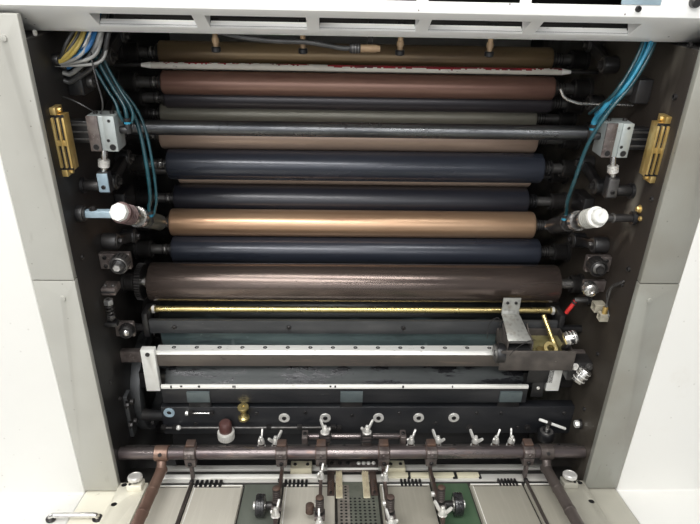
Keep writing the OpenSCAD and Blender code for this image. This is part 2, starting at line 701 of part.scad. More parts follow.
// Steel strips, cream blocks, combs and brushes where the sheets enter the unit
module end_strips() color("#c9c7bd") placed() on_table() {
    top = -table_plate_t;
    box([-395, 10, top], [395, 31, top + 4]);
    box([-395, 47, top], [395, 61, top + 6]);
    box([-395, 19, top + 4], [-60, 31, top + 6]);
    for (s = [[66, 108], [113, 200], [206, 250]])
        box([s[0], 17, top + 4], [s[1], 31, top + 9]);
    for (s = [[-127, -84], [66, 104]])
        box([s[0], 34, top], [s[1], 61, top + 16]);
    for (s = [[-308, -253], [-136, -88], [90, 134], [283, 322]])
        for (i = [0 : 5]) {
            x0 = s[0] + (s[1] - s[0]) * i / 6;
            x1 = x0 + (s[1] - s[0]) * 0.1;
            box([x0, -2.8, top], [x1, 9.8, 3]);
            box([x0, -11, 0], [x1, -2.8, 3]);
        }
    for (x = [-30, 22])
        box([x - 6.5, -46, 0.3], [x + 6.5, 31, 9]);
    for (x = [-46, 37])
        for (i = [0 : 5])
            x_bar([-2 - 6 * i, 5.3], 5, x - 7, x + 7);
    box([-53, 34, 0], [49, 60, 12]);
    box([-53, 31, 8], [49, 34, 12]);
    for (i = [0 : 3])
        translate([10 + 10 * i, 45, 12]) cylinder(d = 6, h = 4);
    box([-53, -38, 0.3], [-39, 34, 2.9]);
    box([30, -38, 0.3], [44, 34, 2.9]);
}

// Flat rail behind the front bar with upright wing nuts, posts and the short steel bar
module nut_rail() color("#6e5f52") placed() {
    z = table_end_h + 43;
    box([-half_gap, 40.5, z], [half_gap, 53, z + 8]);
    for (n = [[-183, 40], [-155, 0], [112, 10], [165, 80], [240, 80], [281, 10], [312, 40]]) {
        translate([n[0], 46.75, z + 8]) cylinder(d = 12, h = 10);
        translate([n[0], 46.75, z + 18]) wing_nut(n[1]);
    }
    for (n = [[-58, 80], [24, 0]]) {
        box([n[0] - 10, 41, z + 8], [n[0] + 10, 56, z + 44]);
        for (i = [0 : 2])
            box([n[0] - 12, 40, z + 22 + 8 * i], [n[0] + 12, 57, z + 25 + 8 * i]);
        translate([n[0], 48, z + 44]) wing_nut(n[1]);
    }
    x_bar([68, z + 14], 12, -92, 92);
    for (x = [-98, 98])
        box([x - 6, 53, z + 1], [x + 6, 76, z + 24]);
    box([-48, 42, z - 14], [-12, 53, z]);
}

// Clamps round the front bar with their jaws and the thin rods that lie over the table
module bar_clamps() color("#4f453f") placed() {
    z = front_bar_c[1];
    for (x = clamp_x) {
        difference() {
            box([x - 10, 6, z - 24], [x + 10, 36, z + 15]);
            x_bar(front_bar_c, front_bar_d + 2 * running_fit, x - 11, x + 11);
        }
        box([x - 9, 20, z + 15], [x + 9, 37, z + 21]);
    }
    for (x = [clamp_x[0], clamp_x[5]]) {
        box([x - 3, 8, z - 58], [x + 3, 20, z - 24]);
        on_table() rod([x, 12, 3.3], [x, -360, 3.3], 6);
    }
}

// Arms from the inner clamps with their spring posts, wing nuts and wheel axles
module wheel_arms() color("#6b6258") placed() {
    z = front_bar_c[1];
    for (i = [1 : 4]) {
        x = clamp_x[i];
        wheeled = i == 1 || i == 4;
        post = wheeled ? -107 : -132;
        box([x - 3, 8, z - 40], [x + 3, 20, z - 24]);
        on_table() {
            box([x - 3, post - 34, 14], [x + 3, 8, 30]);
            box([x - 9, post - 12, 30], [x + 9, post + 12, 38]);
            translate([x, post, 38]) cylinder(d = 14, h = 30);
            translate([x, post, 68]) cylinder(d = 7, h = 4);
            translate([x, post - 22, 30]) wing_nut(i * 25);
            translate([x - 9, post + 44, 22]) rotate([0, 90, 0]) cylinder(d = 10, h = 6);
        }
    }
    for (s = [-1, 1]) on_table() {
        inner = clamp_x[s < 0 ? 1 : 4];
        hub = wheel_x[s < 0 ? 0 : 1];
        x_bar(wheel_c, axle_d, inner, hub + s * (wheel_w / 2 + 3));
        x_bar(wheel_c, axle_d + 6, hub + s * (wheel_w / 2 + 1), hub + s * (wheel_w / 2 + 5));
        x_bar(wheel_c, axle_d + 6, inner, hub - s * (wheel_w / 2 + 1));
    }
    on_table() translate([-83, -102, 14]) cylinder(d = 15, h = 18);
    on_table() x_bar([-102, 22], 6, -83, -65);
    on_table() translate([clamp_x[2], -24, 30]) wing_nut(30);
    on_table() translate([clamp_x[3], -30, 30]) wing_nut(200);
}

// Thick rods hung from T pieces on the front bar, joined by a cross bar over the table
module push_rods() color("#6d4a38") placed() {
    z = front_bar_c[1];
    for (x = rod_x) {
        difference() {
            x_bar(front_bar_c, front_bar_d + 6, x - 13, x + 13);
            x_bar(front_bar_c, front_bar_d + 2 * running_fit, x - 17, x + 17);
        }
        rod([x, front_bar_y - 8.4, z - 11.2], [x, front_bar_y - 19.6, z - 26], push_rod_d - 2);
        on_table() rod([x, -4, 33], [x, -430, 33], push_rod_d);
        on_table() translate([x, -4, 33]) sphere(d = push_rod_d + 3);
    }
    on_table() {
        x_bar([-424, 33], 15, 20 - half_gap, half_gap - 20);
        for (side = [-1, 1])
            box([side * (half_gap - 26) - 8, -436, 5], [side * (half_gap - 26) + 8, -412, 44]);
    }
}

// Bent tube handle between the left housing and the left arm
module tube_handle() color("silver") placed() {
    y = -85;
    foot = arm_top_h + (5 - y) * slope_rise + 0.1;
    outer = -half_gap - frame_t - 31;
    inner = -half_gap - 14;
    z = foot + 9;
    x_bar([y, z], 10, outer, inner);
    for (x = [outer, inner]) {
        translate([x, y, z]) sphere(d = 10);
        translate([x, y, foot]) cylinder(d = 10, h = 9);
    }
}

module hold_down_wheel(x) on_table() difference() {
    x_bar(wheel_c, wheel_d, x - wheel_w / 2, x + wheel_w / 2);
    x_bar(wheel_c, axle_d + 2 * running_fit, x - wheel_w, x + wheel_w);
}
module hold_down_wheel_left() color("#1c1c1c") placed() hold_down_wheel(wheel_x[0]);
module hold_down_wheel_right() color("#1c1c1c") placed() hold_down_wheel(wheel_x[1]);

base_beams();
side_frame_left();
side_frame_right();
side_housing_left();
side_housing_right();
front_strips();
slotted_hood();
top_cover();
rear_cover();
lower_cover();
arm_end_beam();
tie_bar();
front_bar();
guard_bar();
brass_tube();
flat_bar();
gauge_bar();
gauge_end_plates();
roller_bearings();
roller_brackets();
plate_cylinder();
blanket_cylinder();
impression_cylinder();
ink_roller_1();
ink_roller_2();
ink_roller_3();
ink_roller_4();
ink_roller_5();
ink_roller_6();
ink_roller_7();
ink_roller_8();
ink_roller_9();
fountain_roller();
damping_roller();
damping_pan();
water_box();
lay_beam();
beam_fittings();
wall_ring();
air_cylinders();
wall_catches();
lock_handles();
roller_adjusters();
key_rail();
air_tubes();
cable_bundle();
feed_table();
table_rails();
thumb_screws();
suction_belt();
green_tapes();
end_strips();
nut_rail();
bar_clamps();
wheel_arms();
push_rods();
tube_handle();
hold_down_wheel_left();
hold_down_wheel_right();
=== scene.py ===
import math
import random
import bpy
import bmesh
from mathutils import Vector, Matrix


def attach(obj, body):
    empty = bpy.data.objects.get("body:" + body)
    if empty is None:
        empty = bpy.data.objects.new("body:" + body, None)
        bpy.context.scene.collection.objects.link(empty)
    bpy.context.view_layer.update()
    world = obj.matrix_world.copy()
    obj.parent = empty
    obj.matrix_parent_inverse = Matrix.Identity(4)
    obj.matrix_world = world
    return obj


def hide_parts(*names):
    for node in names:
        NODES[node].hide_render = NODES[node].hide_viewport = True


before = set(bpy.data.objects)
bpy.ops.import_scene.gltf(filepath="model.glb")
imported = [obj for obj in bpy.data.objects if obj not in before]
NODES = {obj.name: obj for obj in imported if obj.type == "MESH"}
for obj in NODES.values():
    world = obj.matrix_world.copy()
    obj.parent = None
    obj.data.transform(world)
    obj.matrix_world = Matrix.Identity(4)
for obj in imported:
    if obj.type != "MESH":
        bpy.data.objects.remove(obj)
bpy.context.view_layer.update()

# ---------------------------------------------------------------- camera
# Level and turn of the camera, found from the frames' front edges in the photograph.
PITCH, YAW, ROLL = (math.radians(a) for a in (26.97, -2.02, 1.29))
EYE = (-0.0482, -0.8761, 1.660)
LENS = 30.857
cam_data = bpy.data.cameras.new("camera")
cam_data.sensor_width = 36
cam_data.lens = LENS
cam_data.clip_start = 0.02
cam = bpy.data.objects.new("camera", cam_data)
bpy.context.scene.collection.objects.link(cam)
cam.matrix_world = (Matrix.Translation(EYE) @ Matrix.Rotation(YAW, 4, "Z")
                    @ Matrix.Rotation(math.pi / 2 - PITCH, 4, "X") @ Matrix.Rotation(ROLL, 4, "Z"))
bpy.context.scene.camera = cam
bpy.context.scene.view_settings.view_transform = "Standard"

# ---------------------------------------------------------------- sizes, in millimetres
HALF, FRAME_T, HOUSING_W = 450, 65, 215
DEPTH, MACHINE_H, ARM = 760, 1650, 700
ARM_TOP, SLOPE = 735, 11
STRIP_T, SEAM_H = 12, 1199
LIP_H = MACHINE_H - 53
FRAME_H = LIP_H - 38 - 3
TABLE_H = ARM_TOP + 10
OUT = HALF + FRAME_T + HOUSING_W
FACE_END = 389
WHEEL_R = 20.5
BAR_C = (22, TABLE_H + 59)
PLATE_C = (286, 971)
CLAMP_X = (-315, -141, -65, 56, 148, 338)
WHEEL_X = (-172, 184)
ROD_X = (-370, 374)
SPANS = ((-392, -317), (-311, -216), (-136, -39), (49, 146), (226, 328), (334, 395))
TABLE_LEN = (ARM - 10) / math.cos(math.radians(SLOPE))


def heading(a):
    a = math.radians(a)
    return Vector((math.cos(a), math.sin(a)))


# Diameter, face, heading from the roller before, and shift to the right
TRAIN = ((56, 758, 92.8, 6), (56, 746, 73.2, -2), (60, 736, 37.1, -4), (56, 736, 65.8, 3),
         (60, 746, 150.5, 2), (56, 746, 66.8, -12), (52, 758, 35, -12), (40, 758, 126.5, 6),
         (44, 746, 126.9, 4))
INK_C = []
last_c, last_d = Vector(PLATE_C), 230
for d, face, a, aside in TRAIN:
    last_c = last_c + ((d + last_d) / 2 + 0.3) * heading(a)
    last_d = d
    INK_C.append(tuple(last_c))
DAMP_C = tuple(Vector(PLATE_C) + ((230 + 76) / 2 + 0.3) * heading(130.2))
FOUNT_C = (372, 1489)

# Millimetres from the frames' front edge into the model's metres, then the sloping table
# and the hood's lip, each as x, along and square off, in the same millimetres
UNIT = Matrix.Translation((0, -0.030, 0)) @ Matrix.Scale(0.001, 4)
BOARD = Matrix.Translation((0, 0, TABLE_H)) @ Matrix.Rotation(math.radians(-SLOPE), 4, "X")
BOARD_BACK = BOARD.inverted()
LIP = Matrix(((1, 0, 0, 0), (0, 0.879, 0.477, -STRIP_T), (0, -0.477, 0.879, LIP_H), (0, 0, 0, 1)))

# ---------------------------------------------------------------- materials
DETAIL = {"fine": (6, 0.65), "cloud": (3, 0.5)}  # detail and roughness of the noise


def node(nt, kind, inputs, **props):
    """A new node. Each input gets a value or is linked to another node's output."""
    n = nt.nodes.new("ShaderNode" + kind)
    for k, v in props.items():
        setattr(n, k, v)
    for k, v in inputs.items():
        if isinstance(v, bpy.types.NodeSocket):
            nt.links.new(v, n.inputs[k])
        else:
            n.inputs[k].default_value = v
    return n


def material(name, base, rough, metal, layers, bump=None, coat=0.0):
    """Each layer is (kind, colour, scale, low, high, strength, roughness or None), and the bump
    is (scale, low, strength, distance). A scale is a number or one for each of x, y and z."""
    mt = bpy.data.materials.new(name)
    mt.use_nodes = True
    nt = mt.node_tree
    nt.nodes.clear()
    at = node(nt, "TexCoord", {}).outputs["Object"]

    def fac(kind, scale, low, high, seed):
        """Pattern that runs from 0 at low to 1 at high, moved aside by the seed."""
        scale = scale if isinstance(scale, tuple) else (scale,) * 3
        place = {"Vector": at, "Scale": scale, "Location": (seed, seed * 0.7, seed * 1.3)}
        pattern = {"Vector": node(nt, "Mapping", place).outputs[0], "Scale": 1}
        if kind == "cell":
            value = node(nt, "TexVoronoi", pattern).outputs["Distance"]
        elif kind == "height":
            # Height in the piece's own frame, made uneven by noise of the given scale
            noise = node(nt, "TexNoise", pattern).outputs["Fac"]
            z = node(nt, "SeparateXYZ", {0: at}).outputs[2]
            value = node(nt, "Math", {0: noise, 1: 0.05, 2: z}, operation="MULTIPLY_ADD").outputs[0]
        else:
            detail, r = DETAIL[kind]
            value = node(nt, "TexNoise", {**pattern, "Detail": detail, "Roughness": r}).outputs["Fac"]
        reach = {"Value": value, "From Min": low, "From Max": high}
        return node(nt, "MapRange", reach).outputs["Result"]

    colour, dull = (*base, 1), rough
    for i, (kind, to, scale, low, high, strength, r) in enumerate(layers):
        f = fac(kind, scale, low, high, 3.1 * i + len(name))
        f = node(nt, "Math", {0: f, 1: strength}, operation="MULTIPLY").outputs[0]
        colour = node(nt, "Mix", {0: f, 6: colour, 7: (*to, 1)}, data_type="RGBA").outputs[2]
        if r is not None:
            dull = node(nt, "Mix", {0: f, 2: dull, 3: r}, data_type="FLOAT").outputs[0]
    b = node(nt, "BsdfPrincipled", {"Base Color": (*base, 1), "Roughness": rough, "Metallic": metal,
                                    "Coat Weight": coat, "Coat Roughness": 0.25})
    nt.links.new(colour, b.inputs["Base Color"])
    if dull != rough:
        nt.links.new(dull, b.inputs["Roughness"])
    if bump:
        scale, low, strength, distance = bump
        height = fac("fine", scale, low, 1 - low, 1)
        raised = {"Height": height, "Strength": strength, "Distance": distance}
        nt.links.new(node(nt, "Bump", raised).outputs[0], b.inputs["Normal"])
    node(nt, "OutputMaterial", {0: b.outputs[0]})
    return mt


# Inner faces of the left frame: the same cast iron painted near black, painted shade
wall_left = material("wall_left", (0.012, 0.011, 0.0105), 0.42, 0.0, [
    ("cloud", (0.026, 0.023, 0.021), 4, 0.42, 0.68, 0.8, 0.5),
    ("fine", (0.009, 0.008, 0.008), 22, 0.5, 0.75, 0.7, 0.3),
    ("fine", (0.20, 0.17, 0.14), 170, 0.68, 0.76, 0.5, None)],
    (260, 0.3, 0.25, 0.0006))
# Inner faces of the right frame: the same cast iron painted lighter and browner, painted light
wall_right = material("wall_right", (0.082, 0.071, 0.056), 0.36, 0.15, [
    ("cloud", (0.026, 0.020, 0.016), 3.2, 0.40, 0.62, 0.9, 0.55),
    ("cloud", (0.23, 0.21, 0.175), (5, 9, 3), 0.54, 0.66, 0.75, 0.3),
    ("fine", (0.026, 0.020, 0.018), 26, 0.55, 0.75, 0.7, 0.6),
    ("fine", (0.24, 0.21, 0.18), 170, 0.68, 0.76, 0.5, None)],
    (260, 0.3, 0.25, 0.0006))
cast = material("cast_frame", (0.035, 0.033, 0.032), 0.42, 0.0, [
    ("cloud", (0.075, 0.068, 0.062), 9, 0.42, 0.68, 0.8, 0.55),
    ("fine", (0.015, 0.014, 0.014), 22, 0.5, 0.75, 0.7, 0.3),
    ("fine", (0.2, 0.17, 0.14), 160, 0.66, 0.74, 0.6, None)],
    (260, 0.3, 0.25, 0.0006))
ring_mat = material("ring_cast", (0.10, 0.105, 0.11), 0.42, 0.35, [
    ("cloud", (0.05, 0.05, 0.05), 12, 0.42, 0.66, 0.8, 0.5),
    ("fine", (0.02, 0.018, 0.018), 60, 0.55, 0.7, 0.8, 0.3)],
    (260, 0.3, 0.25, 0.0006))
black = material("black_fitting", (0.011, 0.011, 0.012), 0.34, 0.0, [
    ("cloud", (0.034, 0.031, 0.030), 24, 0.45, 0.7, 0.8, 0.5),
    ("fine", (0.16, 0.15, 0.14), 190, 0.68, 0.78, 0.6, 0.3)],
    (300, 0.3, 0.2, 0.0005), coat=0.25)
cover = material("cover_paint", (0.74, 0.735, 0.70), 0.38, 0.0, [
    ("cloud", (0.71, 0.70, 0.66), 2.5, 0.4, 0.7, 0.7, 0.45),
    ("fine", (0.62, 0.59, 0.53), 9, 0.62, 0.8, 0.4, None),
    ("cell", (0.35, 0.32, 0.28), 34, 0.075, 0.045, 0.30, None)],
    (420, 0.35, 0.12, 0.0004), coat=0.1)
strip = material("strip_paint", (0.43, 0.425, 0.385), 0.40, 0.0, [
    ("cloud", (0.36, 0.35, 0.315), 7, 0.4, 0.7, 0.7, 0.5),
    ("fine", (0.26, 0.235, 0.205), (60, 60, 16), 0.64, 0.8, 0.5, None),
    ("cell", (0.12, 0.11, 0.09), 52, 0.075, 0.045, 0.6, None)],
    (380, 0.35, 0.15, 0.0004), coat=0.15)
hood_paint = material("hood_paint", (0.90, 0.895, 0.87), 0.33, 0.0, [
    ("cloud", (0.78, 0.76, 0.72), 6, 0.48, 0.7, 0.5, 0.45),
    ("fine", (0.50, 0.46, 0.40), (14, 40, 40), 0.68, 0.80, 0.5, None),
    ("cell", (0.09, 0.05, 0.05), 38, 0.062, 0.036, 0.85, None)],
    (400, 0.35, 0.12, 0.0004), coat=0.2)
steel = material("bright_steel", (0.56, 0.56, 0.55), 0.28, 0.9, [
    ("cloud", (0.42, 0.40, 0.38), 26, 0.4, 0.7, 0.7, 0.45),
    ("fine", (0.20, 0.165, 0.14), 120, 0.62, 0.76, 0.6, 0.55)],
    (500, 0.35, 0.1, 0.0003))
chrome = material("worn_chrome", (0.72, 0.71, 0.69), 0.2, 0.95, [
    ("cloud", (0.55, 0.52, 0.49), 60, 0.45, 0.7, 0.7, 0.34),
    ("fine", (0.16, 0.12, 0.10), 190, 0.62, 0.74, 0.7, 0.5)],
    (500, 0.35, 0.12, 0.0003))
nut_mat = material("pale_nut", (0.80, 0.79, 0.75), 0.3, 0.45, [
    ("cloud", (0.66, 0.64, 0.60), 90, 0.42, 0.66, 0.7, 0.4),
    ("fine", (0.24, 0.20, 0.17), 230, 0.64, 0.76, 0.7, 0.55)],
    (600, 0.35, 0.12, 0.0002))
smeared = material("smeared_steel", (0.17, 0.175, 0.18), 0.27, 0.85, [
    ("cloud", (0.055, 0.058, 0.068), (5, 30, 30), 0.4, 0.68, 0.85, 0.42),
    ("fine", (0.42, 0.42, 0.41), (9, 110, 110), 0.60, 0.78, 0.75, 0.2),
    ("fine", (0.03, 0.024, 0.024), 80, 0.6, 0.72, 0.7, 0.6)],
    (300, 0.35, 0.15, 0.0004))
rusty = material("rusty_steel", (0.135, 0.095, 0.082), 0.40, 0.6, [
    ("cloud", (0.055, 0.042, 0.042), 30, 0.4, 0.7, 0.8, 0.5),
    ("fine", (0.28, 0.155, 0.09), 70, 0.56, 0.76, 0.7, 0.7),
    ("fine", (0.48, 0.43, 0.39), 150, 0.64, 0.76, 0.7, 0.3)],
    (260, 0.3, 0.4, 0.0006))
rust_top = material("rust_brown", (0.088, 0.060, 0.050), 0.6, 0.25, [
    ("cloud", (0.12, 0.065, 0.04), 50, 0.4, 0.7, 0.8, 0.7),
    ("fine", (0.17, 0.115, 0.088), 110, 0.58, 0.74, 0.7, 0.5)],
    (240, 0.3, 0.5, 0.0007))
clamp_face = material("clamp_grey", (0.18, 0.155, 0.145), 0.42, 0.5, [
    ("cloud", (0.085, 0.065, 0.062), 60, 0.4, 0.66, 0.85, 0.5),
    ("fine", (0.40, 0.36, 0.33), 180, 0.58, 0.72, 0.7, 0.3),
    ("fine", (0.20, 0.10, 0.06), 90, 0.62, 0.76, 0.7, 0.65)],
    (220, 0.3, 0.45, 0.0007))
bar_purple = material("bar_steel", (0.23, 0.20, 0.195), 0.26, 0.8, [
    ("cloud", (0.12, 0.095, 0.10), (7, 30, 30), 0.4, 0.66, 0.85, 0.4),
    ("fine", (0.34, 0.20, 0.15), (22, 80, 80), 0.58, 0.76, 0.7, 0.5),
    ("fine", (0.62, 0.58, 0.55), (14, 150, 150), 0.62, 0.76, 0.6, 0.2)],
    (300, 0.3, 0.25, 0.0005))
bar_grey = material("bar_dark_steel", (0.115, 0.105, 0.10), 0.34, 0.7, [
    ("cloud", (0.06, 0.052, 0.050), (7, 30, 30), 0.4, 0.66, 0.85, 0.45),
    ("fine", (0.24, 0.17, 0.13), (22, 80, 80), 0.6, 0.76, 0.6, 0.55),
    ("fine", (0.40, 0.38, 0.36), (14, 150, 150), 0.64, 0.78, 0.6, 0.25)],
    (300, 0.3, 0.25, 0.0005))
rod_brown = material("rod_brown", (0.23, 0.150, 0.115), 0.34, 0.5, [
    ("cloud", (0.15, 0.085, 0.066), (20, 9, 9), 0.4, 0.66, 0.85, 0.45),
    ("fine", (0.40, 0.30, 0.24), (90, 26, 26), 0.6, 0.76, 0.6, 0.3)],
    (260, 0.3, 0.3, 0.0005))
rod_dark = material("rod_dark", (0.125, 0.105, 0.095), 0.36, 0.5, [
    ("cloud", (0.065, 0.052, 0.048), (20, 9, 9), 0.4, 0.66, 0.85, 0.45),
    ("fine", (0.30, 0.25, 0.22), (90, 26, 26), 0.6, 0.76, 0.6, 0.3)],
    (260, 0.3, 0.3, 0.0005))
bearing = material("bearing_steel", (0.050, 0.047, 0.046), 0.33, 0.5, [
    ("cloud", (0.018, 0.017, 0.017), 20, 0.4, 0.7, 0.8, 0.45),
    ("fine", (0.3, 0.28, 0.26), 130, 0.66, 0.78, 0.6, 0.3)],
    (300, 0.3, 0.2, 0.0005))
knob_grey = material("knob_grey", (0.17, 0.165, 0.16), 0.34, 0.7, [
    ("cloud", (0.08, 0.075, 0.072), 50, 0.4, 0.68, 0.8, 0.45),
    ("fine", (0.38, 0.36, 0.34), 150, 0.62, 0.76, 0.6, 0.25)],
    (300, 0.3, 0.25, 0.0004))


def ink_coat(name, base, deep, streak, rough, metal, coat=0.3, speck=None):
    """Turned roller surface: long cloudy ink film, fine rings and a few streaks."""
    layers = [("cloud", deep, (2.6, 16, 16), 0.38, 0.68, 0.75, rough + 0.09),
              ("fine", streak, (7, 60, 60), 0.56, 0.78, 0.6, rough)]
    if speck:
        layers.append(("fine", speck, (12, 200, 200), 0.68, 0.80, 0.45, None))
    return material(name, base, rough, metal, layers,
                    ((50, 420, 420), 0.3, 0.06, 0.0003), coat=coat)


blue_rubber = ink_coat("ink_rubber", (0.030, 0.035, 0.050), (0.050, 0.056, 0.074), (0.010, 0.011, 0.018),
                       0.26, 0.25, 0.4, (0.10, 0.10, 0.12))
# Darker copy of the ink rubber for the third roller: painted shade
blue_painted_shade = ink_coat("ink_rubber_dim", (0.018, 0.019, 0.027), (0.030, 0.031, 0.040), (0.008, 0.008, 0.013),
                    0.28, 0.2, 0.35, (0.08, 0.08, 0.09))
# Lighter copy of the ink rubber for the eighth roller, high under the hood: painted light
blue_painted_light = ink_coat("ink_rubber_top", (0.055, 0.050, 0.058), (0.080, 0.072, 0.078), (0.022, 0.020, 0.026),
                    0.30, 0.25, 0.35, (0.14, 0.12, 0.12))
copper = ink_coat("copper_coat", (0.62, 0.385, 0.235), (0.72, 0.50, 0.33), (0.40, 0.20, 0.14),
                  0.30, 0.7, 0.25, (0.50, 0.12, 0.10))
tan_deep = ink_coat("tan_coat_deep", (0.42, 0.30, 0.23), (0.52, 0.38, 0.30), (0.22, 0.15, 0.12), 0.34, 0.45)
brown = ink_coat("brown_coat", (0.26, 0.135, 0.105), (0.34, 0.20, 0.15), (0.17, 0.075, 0.07),
                 0.34, 0.5, 0.25, (0.36, 0.24, 0.17))
ochre = ink_coat("ochre_coat", (0.17, 0.115, 0.065), (0.34, 0.24, 0.12), (0.05, 0.035, 0.032), 0.32, 0.5)
olive = ink_coat("olive_coat", (0.25, 0.24, 0.195), (0.33, 0.31, 0.25), (0.13, 0.12, 0.10), 0.36, 0.3)
damp_mat = ink_coat("damping_metal", (0.110, 0.085, 0.074), (0.155, 0.117, 0.10), (0.06, 0.045, 0.042),
                    0.22, 0.75, 0.3, (0.30, 0.23, 0.20))
# Above about 1.02 m in the cylinder's own frame, under the damping roller, the plate is painted near black: painted
# shade and partly an ink film
plate_mat = material("plate_metal", (0.15, 0.215, 0.225), 0.34, 0.5, [
    ("cloud", (0.25, 0.335, 0.345), (4, 12, 12), 0.4, 0.65, 0.85, 0.45),
    ("fine", (0.045, 0.055, 0.065), (6, 30, 30), 0.5, 0.7, 0.8, 0.3),
    ("cell", (0.55, 0.66, 0.68), (26, 9, 9), 0.16, 0.06, 0.55, 0.5),
    ("fine", (0.60, 0.68, 0.68), (60, 40, 40), 0.66, 0.78, 0.6, 0.5),
    ("height", (0.010, 0.009, 0.008), (9, 30, 30), 1.018, 1.034, 0.96, 0.3)],
    ((60, 300, 300), 0.3, 0.1, 0.0004))
blanket_mat = material("blanket", (0.06, 0.085, 0.14), 0.55, 0.0, [
    ("cloud", (0.035, 0.045, 0.08), (3, 14, 14), 0.4, 0.7, 0.8, 0.65)],
    ((200, 300, 300), 0.3, 0.1, 0.0003))
cylinder_dark = material("cylinder_dark", (0.030, 0.030, 0.031), 0.4, 0.6, [
    ("cloud", (0.055, 0.052, 0.050), (3, 14, 14), 0.42, 0.68, 0.8, 0.5),
    ("fine", (0.012, 0.011, 0.012), (8, 60, 60), 0.5, 0.72, 0.7, 0.3)],
    ((100, 300, 300), 0.3, 0.1, 0.0003))
pan_mat = material("pan_metal", (0.042, 0.047, 0.047), 0.42, 0.35, [
    ("cloud", (0.075, 0.083, 0.083), (5, 18, 18), 0.42, 0.66, 0.8, 0.5),
    ("fine", (0.012, 0.012, 0.015), (13, 42, 42), 0.50, 0.57, 0.95, 0.25),
    ("cell", (0.02, 0.02, 0.022), (60, 70, 70), 0.16, 0.09, 0.85, 0.25)],
    ((30, 80, 80), 0.3, 0.35, 0.0008))
tab_mat = material("pan_tab", (0.10, 0.125, 0.13), 0.42, 0.3, [
    ("cloud", (0.14, 0.165, 0.17), 22, 0.4, 0.7, 0.8, 0.5),
    ("fine", (0.08, 0.09, 0.10), 90, 0.6, 0.74, 0.7, None)],
    (260, 0.3, 0.2, 0.0004))
# White paint of edges and small parts; on the table plates' far edges and on the blue cable it is painted highlight
white_edge = material("worn_white", (0.90, 0.89, 0.84), 0.38, 0.0, [
    ("cloud", (0.80, 0.78, 0.72), (6, 30, 30), 0.42, 0.7, 0.7, 0.5),
    ("fine", (0.16, 0.14, 0.13), (30, 130, 130), 0.64, 0.76, 0.8, None)],
    (300, 0.3, 0.15, 0.0004))
gauge_white = material("gauge_scale", (0.78, 0.78, 0.745), 0.34, 0.3, [
    ("cloud", (0.62, 0.61, 0.57), (5, 40, 40), 0.42, 0.68, 0.7, 0.45),
    ("fine", (0.20, 0.17, 0.155), (60, 200, 200), 0.62, 0.74, 0.8, None)],
    (300, 0.3, 0.15, 0.0003))
gauge_front = material("gauge_steel", (0.135, 0.118, 0.105), 0.36, 0.5, [
    ("cloud", (0.095, 0.085, 0.08), (3, 20, 20), 0.4, 0.62, 0.85, 0.45),
    ("fine", (0.34, 0.25, 0.19), (9, 120, 120), 0.58, 0.74, 0.7, 0.3),
    ("fine", (0.035, 0.03, 0.03), (30, 60, 60), 0.62, 0.74, 0.8, 0.5)],
    ((30, 300, 300), 0.3, 0.2, 0.0004))
white_red = material("white_with_ink", (0.72, 0.69, 0.62), 0.4, 0.0, [
    ("cloud", (0.55, 0.51, 0.45), (10, 40, 40), 0.4, 0.7, 0.7, 0.5),
    ("fine", (0.42, 0.035, 0.045), (5, 60, 60), 0.57, 0.64, 0.85, None),
    ("fine", (0.06, 0.05, 0.05), (60, 120, 120), 0.64, 0.72, 0.8, None)],
    (300, 0.3, 0.15, 0.0004))
red_ink = material("red_ink_film", (0.36, 0.02, 0.03), 0.22, 0.0, [
    ("cloud", (0.16, 0.02, 0.03), (8, 60, 60), 0.4, 0.66, 0.85, 0.3),
    ("fine", (0.05, 0.02, 0.03), (16, 140, 140), 0.55, 0.68, 0.8, None)],
    ((20, 200, 200), 0.3, 0.3, 0.0004), coat=0.5)
table_l = material("table_plate_left", (0.69, 0.655, 0.565), 0.36, 0.0, [
    ("cloud", (0.60, 0.57, 0.49), 6, 0.4, 0.68, 0.8, 0.45),
    ("fine", (0.74, 0.71, 0.62), (180, 9, 9), 0.5, 0.75, 0.6, 0.3),
    ("fine", (0.17, 0.145, 0.12), 60, 0.68, 0.78, 0.7, 0.6)],
    ((420, 30, 30), 0.35, 0.1, 0.0003))
# Darker copy of the left plates' colour for the right plates: painted shade
table_r = material("table_plate_right", (0.45, 0.425, 0.355), 0.36, 0.0, [
    ("cloud", (0.37, 0.35, 0.29), 6, 0.4, 0.68, 0.8, 0.45),
    ("fine", (0.50, 0.475, 0.405), (180, 9, 9), 0.5, 0.75, 0.6, 0.3),
    ("fine", (0.12, 0.10, 0.085), 60, 0.68, 0.78, 0.7, 0.6)],
    ((420, 30, 30), 0.35, 0.1, 0.0003))
strip_steel = material("strip_steel", (0.76, 0.75, 0.70), 0.3, 0.25, [
    ("cloud", (0.62, 0.60, 0.55), (5, 30, 30), 0.4, 0.68, 0.8, 0.45),
    ("fine", (0.22, 0.17, 0.14), (20, 90, 90), 0.6, 0.74, 0.7, 0.5)],
    ((40, 300, 300), 0.35, 0.12, 0.0003))
cream = material("cream_block", (0.66, 0.62, 0.46), 0.5, 0.0, [
    ("cloud", (0.55, 0.51, 0.38), 30, 0.4, 0.7, 0.8, 0.6),
    ("fine", (0.24, 0.19, 0.13), 110, 0.64, 0.76, 0.75, None)],
    (320, 0.35, 0.2, 0.0004))
